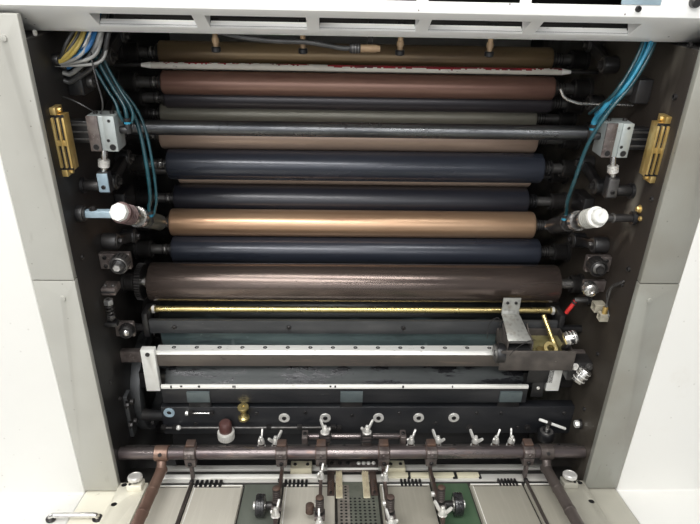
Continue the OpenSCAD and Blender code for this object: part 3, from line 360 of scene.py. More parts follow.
# Near black for the slab under the table plates, seen between them: painted shade
slab_painted_shade = material("table_underside", (0.030, 0.029, 0.027), 0.5, 0.2, [
    ("cloud", (0.06, 0.056, 0.05), 8, 0.4, 0.68, 0.8, 0.6)],
    (260, 0.3, 0.2, 0.0005))
rail_mat = material("cream_paint", (0.80, 0.77, 0.65), 0.4, 0.05, [
    ("cloud", (0.72, 0.69, 0.58), 9, 0.4, 0.68, 0.8, 0.5),
    ("fine", (0.20, 0.16, 0.12), 50, 0.66, 0.78, 0.7, None)],
    (320, 0.35, 0.15, 0.0004))
tyre = material("wheel_tyre", (0.014, 0.014, 0.015), 0.24, 0.0, [
    ("cloud", (0.035, 0.034, 0.036), 60, 0.4, 0.7, 0.8, 0.34)],
    (500, 0.3, 0.15, 0.0003), coat=0.4)
brass = material("brass", (0.62, 0.50, 0.22), 0.26, 0.85, [
    ("cloud", (0.50, 0.40, 0.18), 24, 0.4, 0.68, 0.8, 0.36),
    ("fine", (0.16, 0.12, 0.06), 120, 0.64, 0.76, 0.8, 0.55)],
    (400, 0.35, 0.12, 0.0003))
zinc = material("yellow_zinc", (0.66, 0.45, 0.15), 0.3, 0.75, [
    ("cloud", (0.80, 0.62, 0.28), 50, 0.42, 0.68, 0.8, 0.36),
    ("fine", (0.24, 0.15, 0.07), 160, 0.62, 0.74, 0.6, 0.5)],
    (400, 0.35, 0.15, 0.0003))
dark_bar = material("dark_bar", (0.050, 0.052, 0.055), 0.38, 0.3, [
    ("cloud", (0.095, 0.095, 0.095), (8, 26, 26), 0.42, 0.68, 0.8, 0.5),
    ("fine", (0.26, 0.25, 0.24), (40, 130, 130), 0.66, 0.78, 0.7, 0.4)],
    (260, 0.3, 0.25, 0.0005))
beam_mat = material("beam_black", (0.013, 0.014, 0.017), 0.4, 0.1, [
    ("cloud", (0.030, 0.030, 0.032), (8, 26, 26), 0.42, 0.68, 0.8, 0.5),
    ("fine", (0.14, 0.14, 0.14), (40, 130, 130), 0.68, 0.80, 0.6, 0.4)],
    (260, 0.3, 0.25, 0.0005), coat=0.15)
belt_brown = material("belt_brown", (0.17, 0.152, 0.13), 0.6, 0.0, [
    ("cloud", (0.28, 0.26, 0.225), 40, 0.4, 0.7, 0.8, 0.7),
    ("fine", (0.04, 0.03, 0.026), 130, 0.55, 0.72, 0.7, None)],
    (520, 0.3, 0.3, 0.0004))
belt_green = material("belt_green", (0.105, 0.115, 0.092), 0.55, 0.0, [
    ("cloud", (0.16, 0.165, 0.135), 40, 0.4, 0.7, 0.8, 0.65),
    ("fine", (0.05, 0.05, 0.042), 130, 0.55, 0.72, 0.7, None)],
    (520, 0.3, 0.3, 0.0004))
tape_l = material("tape_grey_green", (0.135, 0.150, 0.125), 0.6, 0.0, [
    ("cloud", (0.175, 0.19, 0.16), (40, 6, 6), 0.4, 0.7, 0.8, 0.65)],
    ((520, 520, 520), 0.3, 0.25, 0.0003))
tape_r = material("tape_green", (0.065, 0.125, 0.068), 0.6, 0.0, [
    ("cloud", (0.10, 0.165, 0.095), (40, 6, 6), 0.4, 0.7, 0.8, 0.65)],
    ((520, 520, 520), 0.3, 0.25, 0.0003))


def sleeve(name, base, light, rough=0.3, coat=0.3):
    """Plastic or rubber skin of a tube or cable."""
    return material(name, base, rough, 0.0, [
        ("cloud", light, 44, 0.4, 0.7, 0.8, rough + 0.08),
        ("fine", tuple(0.4 * c for c in base), 110, 0.62, 0.76, 0.6, None)],
        (500, 0.3, 0.08, 0.0002), coat=coat)


hose_dark = sleeve("hose_teal", (0.008, 0.046, 0.058), (0.016, 0.085, 0.105))
hose_blue = sleeve("hose_blue", (0.020, 0.21, 0.34), (0.05, 0.33, 0.48))
cable_yellow = sleeve("cable_yellow", (0.42, 0.31, 0.07), (0.55, 0.44, 0.14), 0.4, 0.1)
cable_blue = sleeve("cable_blue", (0.020, 0.13, 0.34), (0.05, 0.22, 0.45), 0.35, 0.1)
cable_grey = sleeve("cable_grey", (0.26, 0.26, 0.25), (0.42, 0.42, 0.40), 0.35, 0.2)
cable_dark = sleeve("cable_dark", (0.030, 0.030, 0.030), (0.07, 0.07, 0.07), 0.35, 0.2)
plastic = material("white_plastic", (0.80, 0.80, 0.76), 0.36, 0.0, [
    ("cloud", (0.70, 0.69, 0.64), 50, 0.42, 0.7, 0.6, 0.5),
    ("fine", (0.24, 0.20, 0.17), 130, 0.66, 0.78, 0.6, None)],
    (400, 0.3, 0.1, 0.0002))
alu = material("cast_aluminium", (0.46, 0.50, 0.49), 0.36, 0.45, [
    ("cloud", (0.36, 0.39, 0.385), 36, 0.4, 0.68, 0.8, 0.5),
    ("fine", (0.10, 0.095, 0.09), 120, 0.64, 0.76, 0.75, 0.6)],
    (380, 0.3, 0.2, 0.0004))
sky_blue = material("light_blue_paint", (0.36, 0.47, 0.54), 0.34, 0.1, [
    ("cloud", (0.28, 0.37, 0.43), 50, 0.42, 0.68, 0.8, 0.45),
    ("fine", (0.10, 0.11, 0.12), 150, 0.66, 0.78, 0.6, None)],
    (380, 0.3, 0.15, 0.0003))
grip = material("grip_brown", (0.115, 0.070, 0.068), 0.34, 0.2, [
    ("cloud", (0.22, 0.15, 0.14), 70, 0.42, 0.66, 0.8, 0.4),
    ("fine", (0.04, 0.025, 0.025), 140, 0.58, 0.72, 0.8, 0.5)],
    (300, 0.3, 0.3, 0.0004))
tan_pin = material("tan_pin", (0.42, 0.29, 0.17), 0.4, 0.2, [
    ("cloud", (0.30, 0.20, 0.12), 60, 0.4, 0.7, 0.8, 0.5)],
    (400, 0.3, 0.1, 0.0002))
box_mat = material("water_box_paint", (0.060, 0.052, 0.047), 0.5, 0.2, [
    ("cloud", (0.13, 0.112, 0.098), 30, 0.4, 0.7, 0.8, 0.6),
    ("fine", (0.34, 0.30, 0.25), 120, 0.68, 0.79, 0.6, None)],
    (300, 0.3, 0.25, 0.0005))
sludge = material("box_inside", (0.155, 0.135, 0.055), 0.3, 0.1, [
    ("cloud", (0.30, 0.27, 0.14), 26, 0.42, 0.68, 0.8, 0.4),
    ("fine", (0.05, 0.045, 0.03), 90, 0.55, 0.7, 0.8, 0.5)],
    (200, 0.3, 0.35, 0.0006), coat=0.3)
galvanised = material("galvanised", (0.42, 0.42, 0.39), 0.36, 0.6, [
    ("cell", (0.28, 0.275, 0.255), 130, 0.5, 0.2, 0.7, 0.45),
    ("cloud", (0.22, 0.19, 0.15), 40, 0.5, 0.7, 0.8, 0.55)],
    (380, 0.3, 0.2, 0.0004))
red_paint = material("red_paint", (0.60, 0.035, 0.03), 0.36, 0.0, [
    ("cloud", (0.40, 0.02, 0.02), 80, 0.4, 0.7, 0.8, 0.5)],
    (400, 0.3, 0.1, 0.0002))
bristle = material("bristles", (0.62, 0.56, 0.40), 0.75, 0.0, [
    ("cloud", (0.46, 0.37, 0.26), 80, 0.4, 0.68, 0.8, 0.8)],
    (700, 0.3, 0.3, 0.0003))
# Near black put into holes, slits, notches and hollows: painted shade
hole_black = material("hole_black", (0.006, 0.006, 0.006), 0.8, 0.0, [
    ("cloud", (0.012, 0.011, 0.011), 50, 0.4, 0.7, 0.8, None)])
# Near black for the insides of the hood and what lies under it: painted shade
hood_inside = material("hood_inside", (0.045, 0.042, 0.040), 0.7, 0.0, [
    ("cloud", (0.02, 0.018, 0.018), 12, 0.4, 0.7, 0.8, None)])
floor_mat = material("floor", (0.78, 0.78, 0.77), 0.6, 0.0, [
    ("cloud", (0.74, 0.74, 0.73), 0.8, 0.4, 0.7, 0.6, 0.65)])
# Darker copy of the strip paint for the right front strip: painted shade
strip_painted_shade = material("strip_paint_right", (0.30, 0.30, 0.265), 0.40, 0.0, [
    ("cloud", (0.215, 0.20, 0.165), 7, 0.4, 0.7, 0.8, 0.5),
    ("fine", (0.20, 0.18, 0.155), (60, 60, 16), 0.62, 0.78, 0.5, None),
    ("cell", (0.10, 0.09, 0.08), 52, 0.08, 0.045, 0.6, None)],
    (380, 0.35, 0.15, 0.0004), coat=0.15)
olive_dark = material("olive_grey_paint", (0.085, 0.082, 0.062), 0.32, 0.3, [
    ("cloud", (0.14, 0.135, 0.105), 50, 0.42, 0.68, 0.8, 0.42),
    ("fine", (0.03, 0.028, 0.024), 130, 0.58, 0.72, 0.8, 0.5)],
    (300, 0.3, 0.2, 0.0004), coat=0.2)
knob_red = material("knob_red_brown", (0.10, 0.048, 0.044), 0.34, 0.1, [
    ("cloud", (0.12, 0.05, 0.04), 60, 0.42, 0.68, 0.8, 0.45)],
    (400, 0.3, 0.15, 0.0003))
# Darker copy of the cream paint for the right side: painted shade
rail_painted_shade = material("grey_cream_paint", (0.40, 0.385, 0.325), 0.4, 0.05, [
    ("cloud", (0.33, 0.315, 0.265), 9, 0.4, 0.68, 0.8, 0.5),
    ("fine", (0.13, 0.105, 0.08), 50, 0.64, 0.78, 0.7, None)],
    (320, 0.35, 0.15, 0.0004))
# Lighter copy of the tan coat for the fourth roller, set deep in the train: painted light
tan_painted_light = ink_coat("tan_coat_bright", (0.66, 0.49, 0.38), (0.72, 0.56, 0.44), (0.42, 0.29, 0.22), 0.36, 0.3)
cream_dirty = material("cream_dirty", (0.40, 0.37, 0.29), 0.5, 0.0, [
    ("cloud", (0.26, 0.235, 0.185), 90, 0.4, 0.66, 0.8, 0.6),
    ("fine", (0.08, 0.065, 0.05), 190, 0.58, 0.72, 0.8, None)],
    (320, 0.35, 0.2, 0.0004))

# ---------------------------------------------------------------- mesh tools
FRONT, UP, ALONG = (0, -1, 0), (0, 0, 1), (1, 0, 0)
SIDES = ((-1, "left"), (1, "right"))


def islands(bm):
    """Lists of faces that hang together."""
    seen, out = set(), []
    for f in bm.faces:
        if f.index in seen:
            continue
        seen.add(f.index)
        stack, part = [f], []
        while stack:
            g = stack.pop()
            part.append(g)
            for v in g.verts:
                for h in v.link_faces:
                    if h.index not in seen:
                        seen.add(h.index)
                        stack.append(h)
        out.append(part)
    return out


def finish_mesh(bm, name, mats, degrees=32):
    """Mesh of a bmesh, with its materials, smooth up to the given angle."""
    mesh = bpy.data.meshes.new(name + "_mesh")
    bm.to_mesh(mesh)
    bm.free()
    for mt in mats:
        mesh.materials.append(mt)
    mesh.polygons.foreach_set("use_smooth", [True] * len(mesh.polygons))
    mesh.set_sharp_from_angle(angle=math.radians(degrees))
    return mesh


def link(name, mesh, body="frame", replaced=()):
    o = bpy.data.objects.new(name, mesh)
    bpy.context.scene.collection.objects.link(o)
    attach(o, body)
    if replaced:
        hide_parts(*replaced)
    return o


def bevel_edges(bm, edges, offset, segs=2):
    bmesh.ops.bevel(bm, geom=edges, offset=offset, segments=segs, profile=0.5, affect="EDGES",
                    clamp_overlap=True)


def dress(name, mats, pick=None, bevel=1.0, segs=2, body="frame"):
    """A copy of a CAD node with rounded edges. pick gives a face's material from its middle
    in millimetres and its normal."""
    bm = bmesh.new()
    bm.from_mesh(NODES[name].data)
    bmesh.ops.remove_doubles(bm, verts=bm.verts, dist=2e-6)
    bmesh.ops.dissolve_limit(bm, angle_limit=math.radians(0.6), verts=bm.verts, edges=bm.edges,
                             delimit={"NORMAL"})
    bm.faces.index_update()
    for edges in [list({e for f in part for e in f.edges}) for part in islands(bm)]:
        sharp = [e for e in edges if e.is_valid and e.is_manifold
                 and e.calc_face_angle(0) > math.radians(35)]
        if sharp:
            bevel_edges(bm, sharp, bevel / 1000, segs)
    bm.normal_update()
    if pick:
        for f in bm.faces:
            c = f.calc_center_median() * 1000
            c.y += 30
            f.material_index = pick(c, f.normal)
    return link(name + "_dressed", finish_mesh(bm, name, mats), body, [name])


def square_to(axis):
    """The axis as a unit vector and two more that are square to it."""
    axis = Vector(axis).normalized()
    u = axis.orthogonal().normalized()
    return axis, u, axis.cross(u)


def turned_by(a, u, v):
    return math.cos(a) * u + math.sin(a) * v


def circle(part, at, r, u, v, n):
    return [part.verts.new(at + r * turned_by(2 * math.pi * k / n, u, v)) for k in range(n)]


def mirrored(half):
    """Profile of a turned part from that of its right half."""
    return [(-t, r) for t, r in half[::-1]] + half[1:]


class Piece:
    """A mesh made in millimetres, of boxes, turned parts, prisms, tubes and springs."""

    def __init__(self, name, matrix=UNIT, body="frame", replaced=(), slot=None):
        self.name, self.matrix, self.body, self.replaced, self.slot = name, matrix, body, replaced, slot
        self.bm = bmesh.new()
        self.mats = []

    def add(self, part, matrix=None):
        """Take in a part whose faces have their material index."""
        if matrix is not None:
            part.transform(matrix)
        tmp = bpy.data.meshes.new("tmp")
        part.to_mesh(tmp)
        part.free()
        self.bm.from_mesh(tmp)
        bpy.data.meshes.remove(tmp)

    def take(self, part, mt, matrix=None, r=0, segs=2):
        """Take in a part of one material, with its edges rounded by r."""
        if r > 0:
            bevel_edges(part, part.edges[:], r, segs)
        if mt not in self.mats:
            self.mats.append(mt)
        k = self.mats.index(mt)
        for f in part.faces:
            f.material_index = k
        self.add(part, matrix)

    def between(self, a, b, mt, r, segs=2, matrix=None):
        """Solid between two outlines with as many corners each."""
        part = bmesh.new()
        a, b = ([part.verts.new(q) for q in side] for side in (a, b))
        part.faces.new(a)
        part.faces.new(b[::-1])
        for i in range(len(a)):
            j = (i + 1) % len(a)
            part.faces.new((a[j], a[i], b[i], b[j]))
        bmesh.ops.recalc_face_normals(part, faces=part.faces[:])
        self.take(part, mt, matrix, r, segs)

    def box(self, a, b, mt, r=0.8, segs=2, matrix=None):
        lo, hi = ([f(p, q) for p, q in zip(a, b)] for f in (min, max))
        part = bmesh.new()
        vs = [part.verts.new([(lo, hi)[i >> k & 1][k] for k in range(3)]) for i in range(8)]
        for f in ((0, 2, 3, 1), (4, 5, 7, 6), (0, 1, 5, 4), (2, 6, 7, 3), (0, 4, 6, 2), (1, 3, 7, 5)):
            part.faces.new([vs[i] for i in f])
        self.take(part, mt, matrix, min(r, 0.32 * min(h - l for l, h in zip(lo, hi))), segs)

    def prism(self, outline, x0, x1, mt, r=0.6, segs=2, matrix=None):
        """Outline in Y and Z, run along X."""
        self.between(*([(x, y, z) for y, z in outline] for x in (x0, x1)), mt, r, segs, matrix)

    def sheet(self, corners, t, mt, r=0.4):
        """Flat sheet through four corners, of the given thickness below them."""
        q = [Vector(c) for c in corners]
        down = -t * (q[1] - q[0]).cross(q[3] - q[0]).normalized()
        self.between(q, [c + down for c in q], mt, r)

    def lathe(self, profile, at, axis, mt, n=32, matrix=None, ring=False):
        """Profile as (distance along the axis, radius), closed at both ends or into a ring."""
        part = bmesh.new()
        axis, u, v = square_to(axis)
        at = Vector(at)
        rings = [circle(part, at + axis * t, r, u, v, n) if r > 1e-6 else [part.verts.new(at + axis * t)]
                 for t, r in profile]
        for p, q in zip(rings, rings[1:] + rings[:1] if ring else rings[1:]):
            if len(p) == len(q) == 1:
                continue
            for k in range(n):
                j = (k + 1) % n
                if len(p) == 1:
                    part.faces.new((p[0], q[k], q[j]))
                elif len(q) == 1:
                    part.faces.new((p[k], q[0], p[j]))
                else:
                    part.faces.new((p[k], q[k], q[j], p[j]))
        for end in () if ring else (rings[0], rings[-1]):
            if len(end) > 1:
                part.faces.new(end)
        bmesh.ops.recalc_face_normals(part, faces=part.faces[:])
        self.take(part, mt, matrix)

    def cyl(self, a, b, d, mt, r=0.6, n=24, d2=None, matrix=None):
        """Round bar from a to b with rounded rims."""
        a, b = Vector(a), Vector(b)
        h = (b - a).length
        r1, r2 = d / 2, (d if d2 is None else d2) / 2
        r = min(r, h / 3, r1 / 2, r2 / 2)
        c = 0.3 * r
        self.lathe([(0, 0), (0, r1 - r), (c, r1 - c), (r, r1), (h - r, r2), (h - c, r2 - c),
                    (h, r2 - r), (h, 0)], a, b - a, mt, n, matrix)

    def disc(self, at, axis, r0, r1, h, mt, n=24, matrix=None):
        """Flat ring of the given height, with inner radius r0 and outer radius r1."""
        c = min(0.4, h / 3)
        self.lathe([(0, r0), (0, r1), (h - c, r1), (h, r1 - c), (h, r0 + c), (h - c, r0)], at, axis, mt, n,
                   matrix, True)

    def hexa(self, at, axis, across, h, mt, matrix=None):
        """Hexagon with a chamfered top."""
        r = across / 2 / math.cos(math.pi / 6)
        self.lathe([(0, 0), (0, r), (h * 0.8, r), (h, r * 0.86), (h, 0)], at, axis, mt, 6, matrix)

    def bolt(self, at, axis, across, mt):
        """Hexagon head on its washer."""
        a = Vector(axis).normalized()
        seat = Vector(at) + a * 1.6
        self.cyl(at, seat, across * 1.7, mt, 0.4, 24)
        self.hexa(seat, a, across, across * 0.6, mt)

    def cap_screw(self, at, axis, d, mt, h, matrix=None):
        """Socket head screw with its recess."""
        r = d / 2
        self.lathe([(0, 0), (0, r), (h - 0.6, r), (h, r - 0.6), (h, r * 0.62), (h - d * 0.3, r * 0.55),
                    (h - d * 0.3, 0)], at, axis, mt, 18, matrix)

    def tube(self, route, d, mt, n=10, between=5, matrix=None):
        """Smooth round tube through the route's points."""
        pts = [Vector(p) for p in route]
        if between > 1:
            ext = [2 * pts[0] - pts[1]] + pts + [2 * pts[-1] - pts[-2]]
            fine = []
            for i in range(1, len(ext) - 2):
                p0, p1, p2, p3 = ext[i - 1:i + 3]
                for k in range(between):
                    t = k / between
                    fine.append(0.5 * ((2 * p1) + (p2 - p0) * t + (2 * p0 - 5 * p1 + 4 * p2 - p3) * t * t
                                       + (3 * p1 - p0 - 3 * p2 + p3) * t ** 3))
            pts = fine + [pts[-1]]
        part = bmesh.new()
        rings = []
        u = None
        for i, p in enumerate(pts):
            t = (pts[min(i + 1, len(pts) - 1)] - pts[max(i - 1, 0)]).normalized()
            u = t.orthogonal().normalized() if u is None else (u - u.dot(t) * t).normalized()
            rings.append(circle(part, p, d / 2, u, t.cross(u), n))
        for p, q in zip(rings, rings[1:]):
            for k in range(n):
                j = (k + 1) % n
                part.faces.new((p[k], q[k], q[j], p[j]))
        part.faces.new(rings[0])
        part.faces.new(rings[-1])
        bmesh.ops.recalc_face_normals(part, faces=part.faces[:])
        self.take(part, mt, matrix)

    def spring(self, a, b, d, wire, turns, mt, matrix=None):
        a, b = Vector(a), Vector(b)
        _, u, v = square_to(b - a)
        n = turns * 12
        self.tube([a + (b - a) * (i / n) + d / 2 * turned_by(math.pi * i / 6, u, v) for i in range(n + 1)],
                  wire, mt, 6, 1, matrix)

    def wing_nut(self, at, turn, k=1.12, matrix=None):
        """Upright wing nut with its collar, stud and two ears, k times the usual size."""
        axis, u, v = square_to(UP)
        a = math.radians(turn)
        u, v = turned_by(a, u, v), turned_by(a, v, -u)
        self.lathe([(t * k, r * k) for t, r in ((0, 0), (0, 6.2), (1, 6.5), (7, 5), (9, 4.4), (9, 3), (13.4, 3),
                                                (14, 2.4), (14, 0))], at, axis, nut_mat, 20, matrix)
        outline = ((3, 1.5), (8, 4.5), (12, 9.5), (15.6, 15), (16, 18), (14.4, 19.5), (12.2, 19.2),
                   (8.4, 14.5), (5.4, 10), (3, 8))
        for s in (-1, 1):
            self.between(*([Vector(at) + k * (s * p * u + q * axis + w * v) for p, q in outline]
                           for w in (-1.5, 1.5)), nut_mat, 0.5 * k, 2, matrix)

    def knurls(self, at, radius, n, lo, hi, mt, axis="Z", r=0.3):
        """Small ridges round a knob, each a box from lo to hi before it is turned into place."""
        out = (0, radius, 0) if axis == "Z" else (0, 0, radius)
        for k in range(n):
            self.box(lo, hi, mt, r, 1, Matrix.Translation(at)
                     @ Matrix.Rotation(2 * math.pi * k / n, 4, axis) @ Matrix.Translation(out))

    def done(self):
        self.bm.transform(self.matrix)
        return link(self.name, finish_mesh(self.bm, self.name, self.mats, 35), self.body, self.replaced)


def built(name, end="_built", matrix=UNIT, body="frame"):
    """A piece that stands where the CAD node of that name is."""
    return Piece(name + end, matrix, body, [name])

# ---------------------------------------------------------------- frames, covers and hood
def past(x):
    """Second material where a cross bar's or cylinder's ends begin."""
    return lambda c, nn: int(abs(c.x) > x)


def left_right(c, nn):
    return 0 if c.x < 0 else 1


# Inner faces of the frames: the left one painted near black as shade, the right one lighter as light; the right arm's
# top gets the darker copy of the cream paint, painted shade
for s, n in SIDES:
    dress("side_frame_" + n, [cast, wall_left if s < 0 else wall_right, rail_mat if s < 0 else rail_painted_shade],
          lambda c, nn: 2 if nn.z > 0.7 and c.y < 8 else int(nn.x * -s > 0.5), 2.5)
    dress("side_housing_" + n, [cover], None, 3.2, 3)
dress("base_beams", [cast, smeared], lambda c, nn: 1 if c.z < 17 else 0, bevel=1.5)
# The right front strip gets the darker copy of the strip paint: painted shade
dress("front_strips", [strip, strip_painted_shade], left_right, 1.2)
# Hood faces that look in, back or down behind the lip are painted near black as shade
dress("slotted_hood", [hood_paint, hood_inside],
      lambda c, nn: 0 if (nn.y < -0.3 and c.y < -11) or nn.z > 0.5 and c.z > 1649
      or nn.z < -0.3 and c.y < 60 and c.z < 1600 or abs(nn.x) > 0.5 or nn.y < -0.7 and c.y > 20 else 1, bevel=0.8)
# The top cover's front part, at the hood, is painted near black as shade
dress("top_cover", [cover, hood_inside], lambda c, nn: 1 if c.y < 151 else 0, bevel=3, segs=3)
dress("rear_cover", [cover], bevel=4, segs=3)
dress("lower_cover", [cover], bevel=3, segs=3)
dress("arm_end_beam", [cast], bevel=2)

p = Piece("hood_slot_flanges", slot="cover_paint")
for i in range(5):
    x = (i - 2) * 150
    p.box((x - 66.4, 58.8, 3.4), (x + 66.4, 60.4, 7.4), hood_paint, 0.3, 1, LIP)
    p.box((x - 66, 60.4, 8), (x + 66, 62, 10.8), white_edge, 0.3, 1, LIP)
    for s in (-1, 1):
        p.box((x + s * 66.5, 20.8, 3.4), (x + s * 68, 58.8, 20), hood_paint, 0.3, 1, LIP)
p.box((324, -13.4, 1612), (376, -12, 1646), sky_blue, 0.5)
p.lathe([(0, 0), (0, 7), (3, 7.4), (7, 6.6), (8.5, 4.6), (8.5, 0)], (419.5, -12, 1616.5), FRONT, black, 24)
p.cap_screw((348, -12, 1607), FRONT, 8, black, 3)
for x in (-470, -432, 470):
    p.cap_screw((x, -12, 1609), FRONT, 9, bearing, 2.5)
p.done()

# Doors, lids, hinges, handles and louvres of the white housings
p = Piece("housing_doors", slot="cover_paint")


def door(a, b, axis, way, handle, hinges=()):
    """Sheet door 2 mm proud of the plane square to axis, at a[axis], with its handle and hinges.
    The handle's and the hinges' places leave out their coordinate on that axis."""
    lo, hi = list(a), list(b)
    face = hi[axis] = lo[axis] + way * 2
    p.box(lo, hi, cover, 0.9, 3)
    out = [0, 0, 0]
    out[axis] = way
    run = 0 if axis == 2 else 2
    at = list(handle)
    at.insert(axis, face)
    p.lathe([(0, 0), (0, 17), (1.2, 17), (1.8, 16), (1.8, 13), (0.7, 12), (0.7, 0)], at, out, steel, 36)
    ends = [list(at), list(at)]
    for e, t in zip(ends, (-10, 10)):
        e[run] += t
        e[axis] += way * 3
    p.cyl(*ends, 6, bearing, 1.5, 16)
    at[axis] += way * 0.8
    p.lathe([(0, 0), (0, 4), (2, 3.6), (2, 0)], at, out, bearing, 16)
    for h in hinges:
        at = list(h)
        at.insert(axis, lo[axis] + way * 3)
        top = list(at)
        top[run] += 56
        p.cyl(at, top, 9, steel, 1.2, 16)


def louvres(a, b, axis, way, rows):
    """Rows of pressed louvres between a and b on the plane square to axis."""
    step = (b[2] - a[2]) / rows
    for i in range(rows):
        lo, hi = list(a), list(b)
        lo[2] += i * step
        hi[2] = lo[2] + step * 0.42
        hi[axis] = lo[axis] + way * 4.5
        p.box(lo, hi, cover, 1.4)


for s in (-1, 1):
    x = s * OUT
    door((x, 18, 770), (x, 382, 1612), 0, s, (352, 1190), [(22, 900), (22, 1430)])
    door((x, 392, 770), (x, 742, 1612), 0, s, (424, 1190), [(736, 900), (736, 1430)])
    door((x, 18, 124), (x, 382, 752), 0, s, (352, 440), [(22, 200), (22, 620)])
    door((x, 392, 124), (x, 742, 752), 0, s, (424, 440), [(736, 200), (736, 620)])
    door((x, -682, 124), (x, 4, 700), 0, s, (-40, 560), [(-676, 190), (-676, 560)])
    for y0 in (70, 440):
        louvres((x + s * 2, y0, 190), (x + s * 2, y0 + 250, 330), 0, s, 9)
    door((s * 535, 30, MACHINE_H), (s * 715, 370, MACHINE_H), 2, 1, (s * 625, 60))
    door((s * 535, 384, MACHINE_H), (s * 715, 730, MACHINE_H), 2, 1, (s * 625, 700))
    door((s * 20, 180, MACHINE_H), (s * 430, 730, MACHINE_H), 2, 1, (s * 225, 700))
    door((s * 12, 755, 150), (s * 436, 755, 860), 1, 1, (s * 40, 560), [(s * 430, 240), (s * 430, 720)])
    door((s * 12, 755, 880), (s * 436, 755, 1530), 1, 1, (s * 40, 1200), [(s * 430, 960), (s * 430, 1400)])
    louvres((s * 120, 757, 220), (s * 330, 757, 360), 1, 1, 9)
    door((s * 10, 40, 112), (s * 440, 40, 506), 1, -1, (s * 60, 310))
    louvres((s * 140, 38, 160), (s * 350, 38, 260), 1, -1, 7)
    for z in (124, 494):
        for k in (30, 225, 420):
            p.cap_screw((s * k, 38, z), FRONT, 9, bearing, 2.4)
    for y in (-640, -330, -30):
        p.cap_screw((s * (OUT - 30), y, ARM_TOP - y * math.tan(math.radians(SLOPE)) - 0.4), UP, 9,
                    bearing, 2.4)
p.done()

# ---------------------------------------------------------------- rollers
def roller(name, c, d, face, aside, mt, collar=False):
    """Ink or fountain roller with its journals. A collar of black rings sits on the right one."""
    p = built(name, "_turned", body=name)
    r, f = d / 2, face / 2
    half = [(0, r), (f - 3.2, r), (f - 1.4, r - 0.4), (f, r - 1.8), (f, r * 0.76), (f - 2.5, r * 0.72),
            (f - 2.5, 13.6), (f + 6.6, 13.6), (f + 7.6, 12.4), (f + 7.6, 0)]
    p.lathe(mirrored(half), (aside, *c), ALONG, mt, 80)
    for s in (-1, 1):
        at = (aside + s * (f + 5), *c)
        reach = 445 - (aside * s + f + 5)
        p.lathe([(0, 0), (0, 10), (reach - 1, 10), (reach, 9), (reach, 0)], at, (s, 0, 0), knob_grey, 32)
        p.disc((aside + s * (f + 1), *c), (s, 0, 0), 13.4, min(15.8, r - 2), 5, bearing, 40)
        if collar and s > 0:
            for k in range(4):
                p.disc((aside + f + 8 + 3.4 * k, *c), ALONG, 9.8, 13.5 + 2.4 * (k % 2), 3.2, black, 32)
        else:
            for k in range(3):
                p.disc((aside + s * (f + 10 + 5 * k), *c), (s, 0, 0), 9.8, 11.6, 2.2,
                       chrome if s < 0 and k == 1 else bearing)
    p.done()


# Rollers 3, 4 and 8 take darker or lighter copies of their coats: painted shade on roller 3, painted light on rollers 4
# and 8
INK_MATS = (blue_rubber, copper, blue_painted_shade, tan_painted_light, blue_rubber, tan_deep, olive, blue_painted_light, brown)
for i, ((d, face, a, aside), c, mt) in enumerate(zip(TRAIN, INK_C, INK_MATS)):
    roller("ink_roller_%d" % (i + 1), c, d, face, aside, mt, i in (2, 4))
roller("fountain_roller", FOUNT_C, 44, 758, 0, ochre)

p = built("damping_roller", "_turned", body="damping_roller")
half = [(0, 38), (395.5, 38), (397.2, 37.2), (398, 35.5), (398, 28), (395.4, 27), (395.4, 16), (405, 16),
        (406, 15), (406, 0)]
p.lathe(mirrored(half), (0, *DAMP_C), ALONG, damp_mat, 96)
for s in (-1, 1):
    p.lathe([(0, 0), (0, 10), (40, 10), (41, 9), (41, 0)], (s * 404, *DAMP_C), (s, 0, 0), chrome, 32)
for k in range(8):
    a = k * math.pi / 4
    p.cap_screw((-395.6, DAMP_C[0] + 22 * math.cos(a), DAMP_C[1] + 22 * math.sin(a)), (-1, 0, 0), 6, bearing, 4)
teeth = []
for k in range(40):
    a0 = 2 * math.pi * k / 40
    for da, rr in ((-0.062, 32.6), (-0.03, 36.3), (0.03, 36.3), (0.062, 32.6)):
        teeth.append((DAMP_C[0] + rr * math.cos(a0 + da), DAMP_C[1] + rr * math.sin(a0 + da)))
p.prism(teeth, -421.4, -410.6, bearing, r=0)
p.disc((-421.4, *DAMP_C), (-1, 0, 0), 10.5, 17, 2, chrome, 32)
p.done()

plate = dress("plate_cylinder", [plate_mat, bearing], past(FACE_END), 1.2, body="plate_cylinder")
for v in plate.data.vertices:  # the faceted journals turn freely in the faceted bores
    r = Vector((0, v.co.y - (PLATE_C[0] - 30) / 1000, v.co.z - PLATE_C[1] / 1000))
    if r.length < 0.0315 and abs(v.co.x) > 0.38:
        v.co -= 0.012 * r
dress("blanket_cylinder", [blanket_mat, bearing], past(FACE_END), 1.2)
dress("impression_cylinder", [cylinder_dark, bearing], past(FACE_END), 1.2)

# Flanged bearings on the frames, each with its ring and screws
p = built("roller_bearings", "_turned")
for s in (-1, 1):
    seats = [(c, t[0], 34) for c, t in zip(INK_C, TRAIN)] + [(FOUNT_C, 44, 34), (DAMP_C, 76, 22)]
    for c, d, long in seats:
        r = min(18, d / 2 - 2)
        p.lathe([(0, 10.2), (0, r + 3), (4, r + 3), (5, r + 2), (5, r - 0.6), (long - 9, r - 0.6),
                 (long - 8, r), (long - 2, r), (long, r - 2), (long, 12.5), (long - 2, 11.5), (long - 2, 10.2)],
                (s * HALF, *c), (-s, 0, 0), bearing, 40, None, True)
        for k in range(3):
            a = 0.5 + k * 2.094
            p.cap_screw((s * (HALF - long + 2), c[0] + 14.4 * math.cos(a), c[1] + 14.4 * math.sin(a)), (-s, 0, 0),
                        3.4, knob_grey, 3)
p.done()

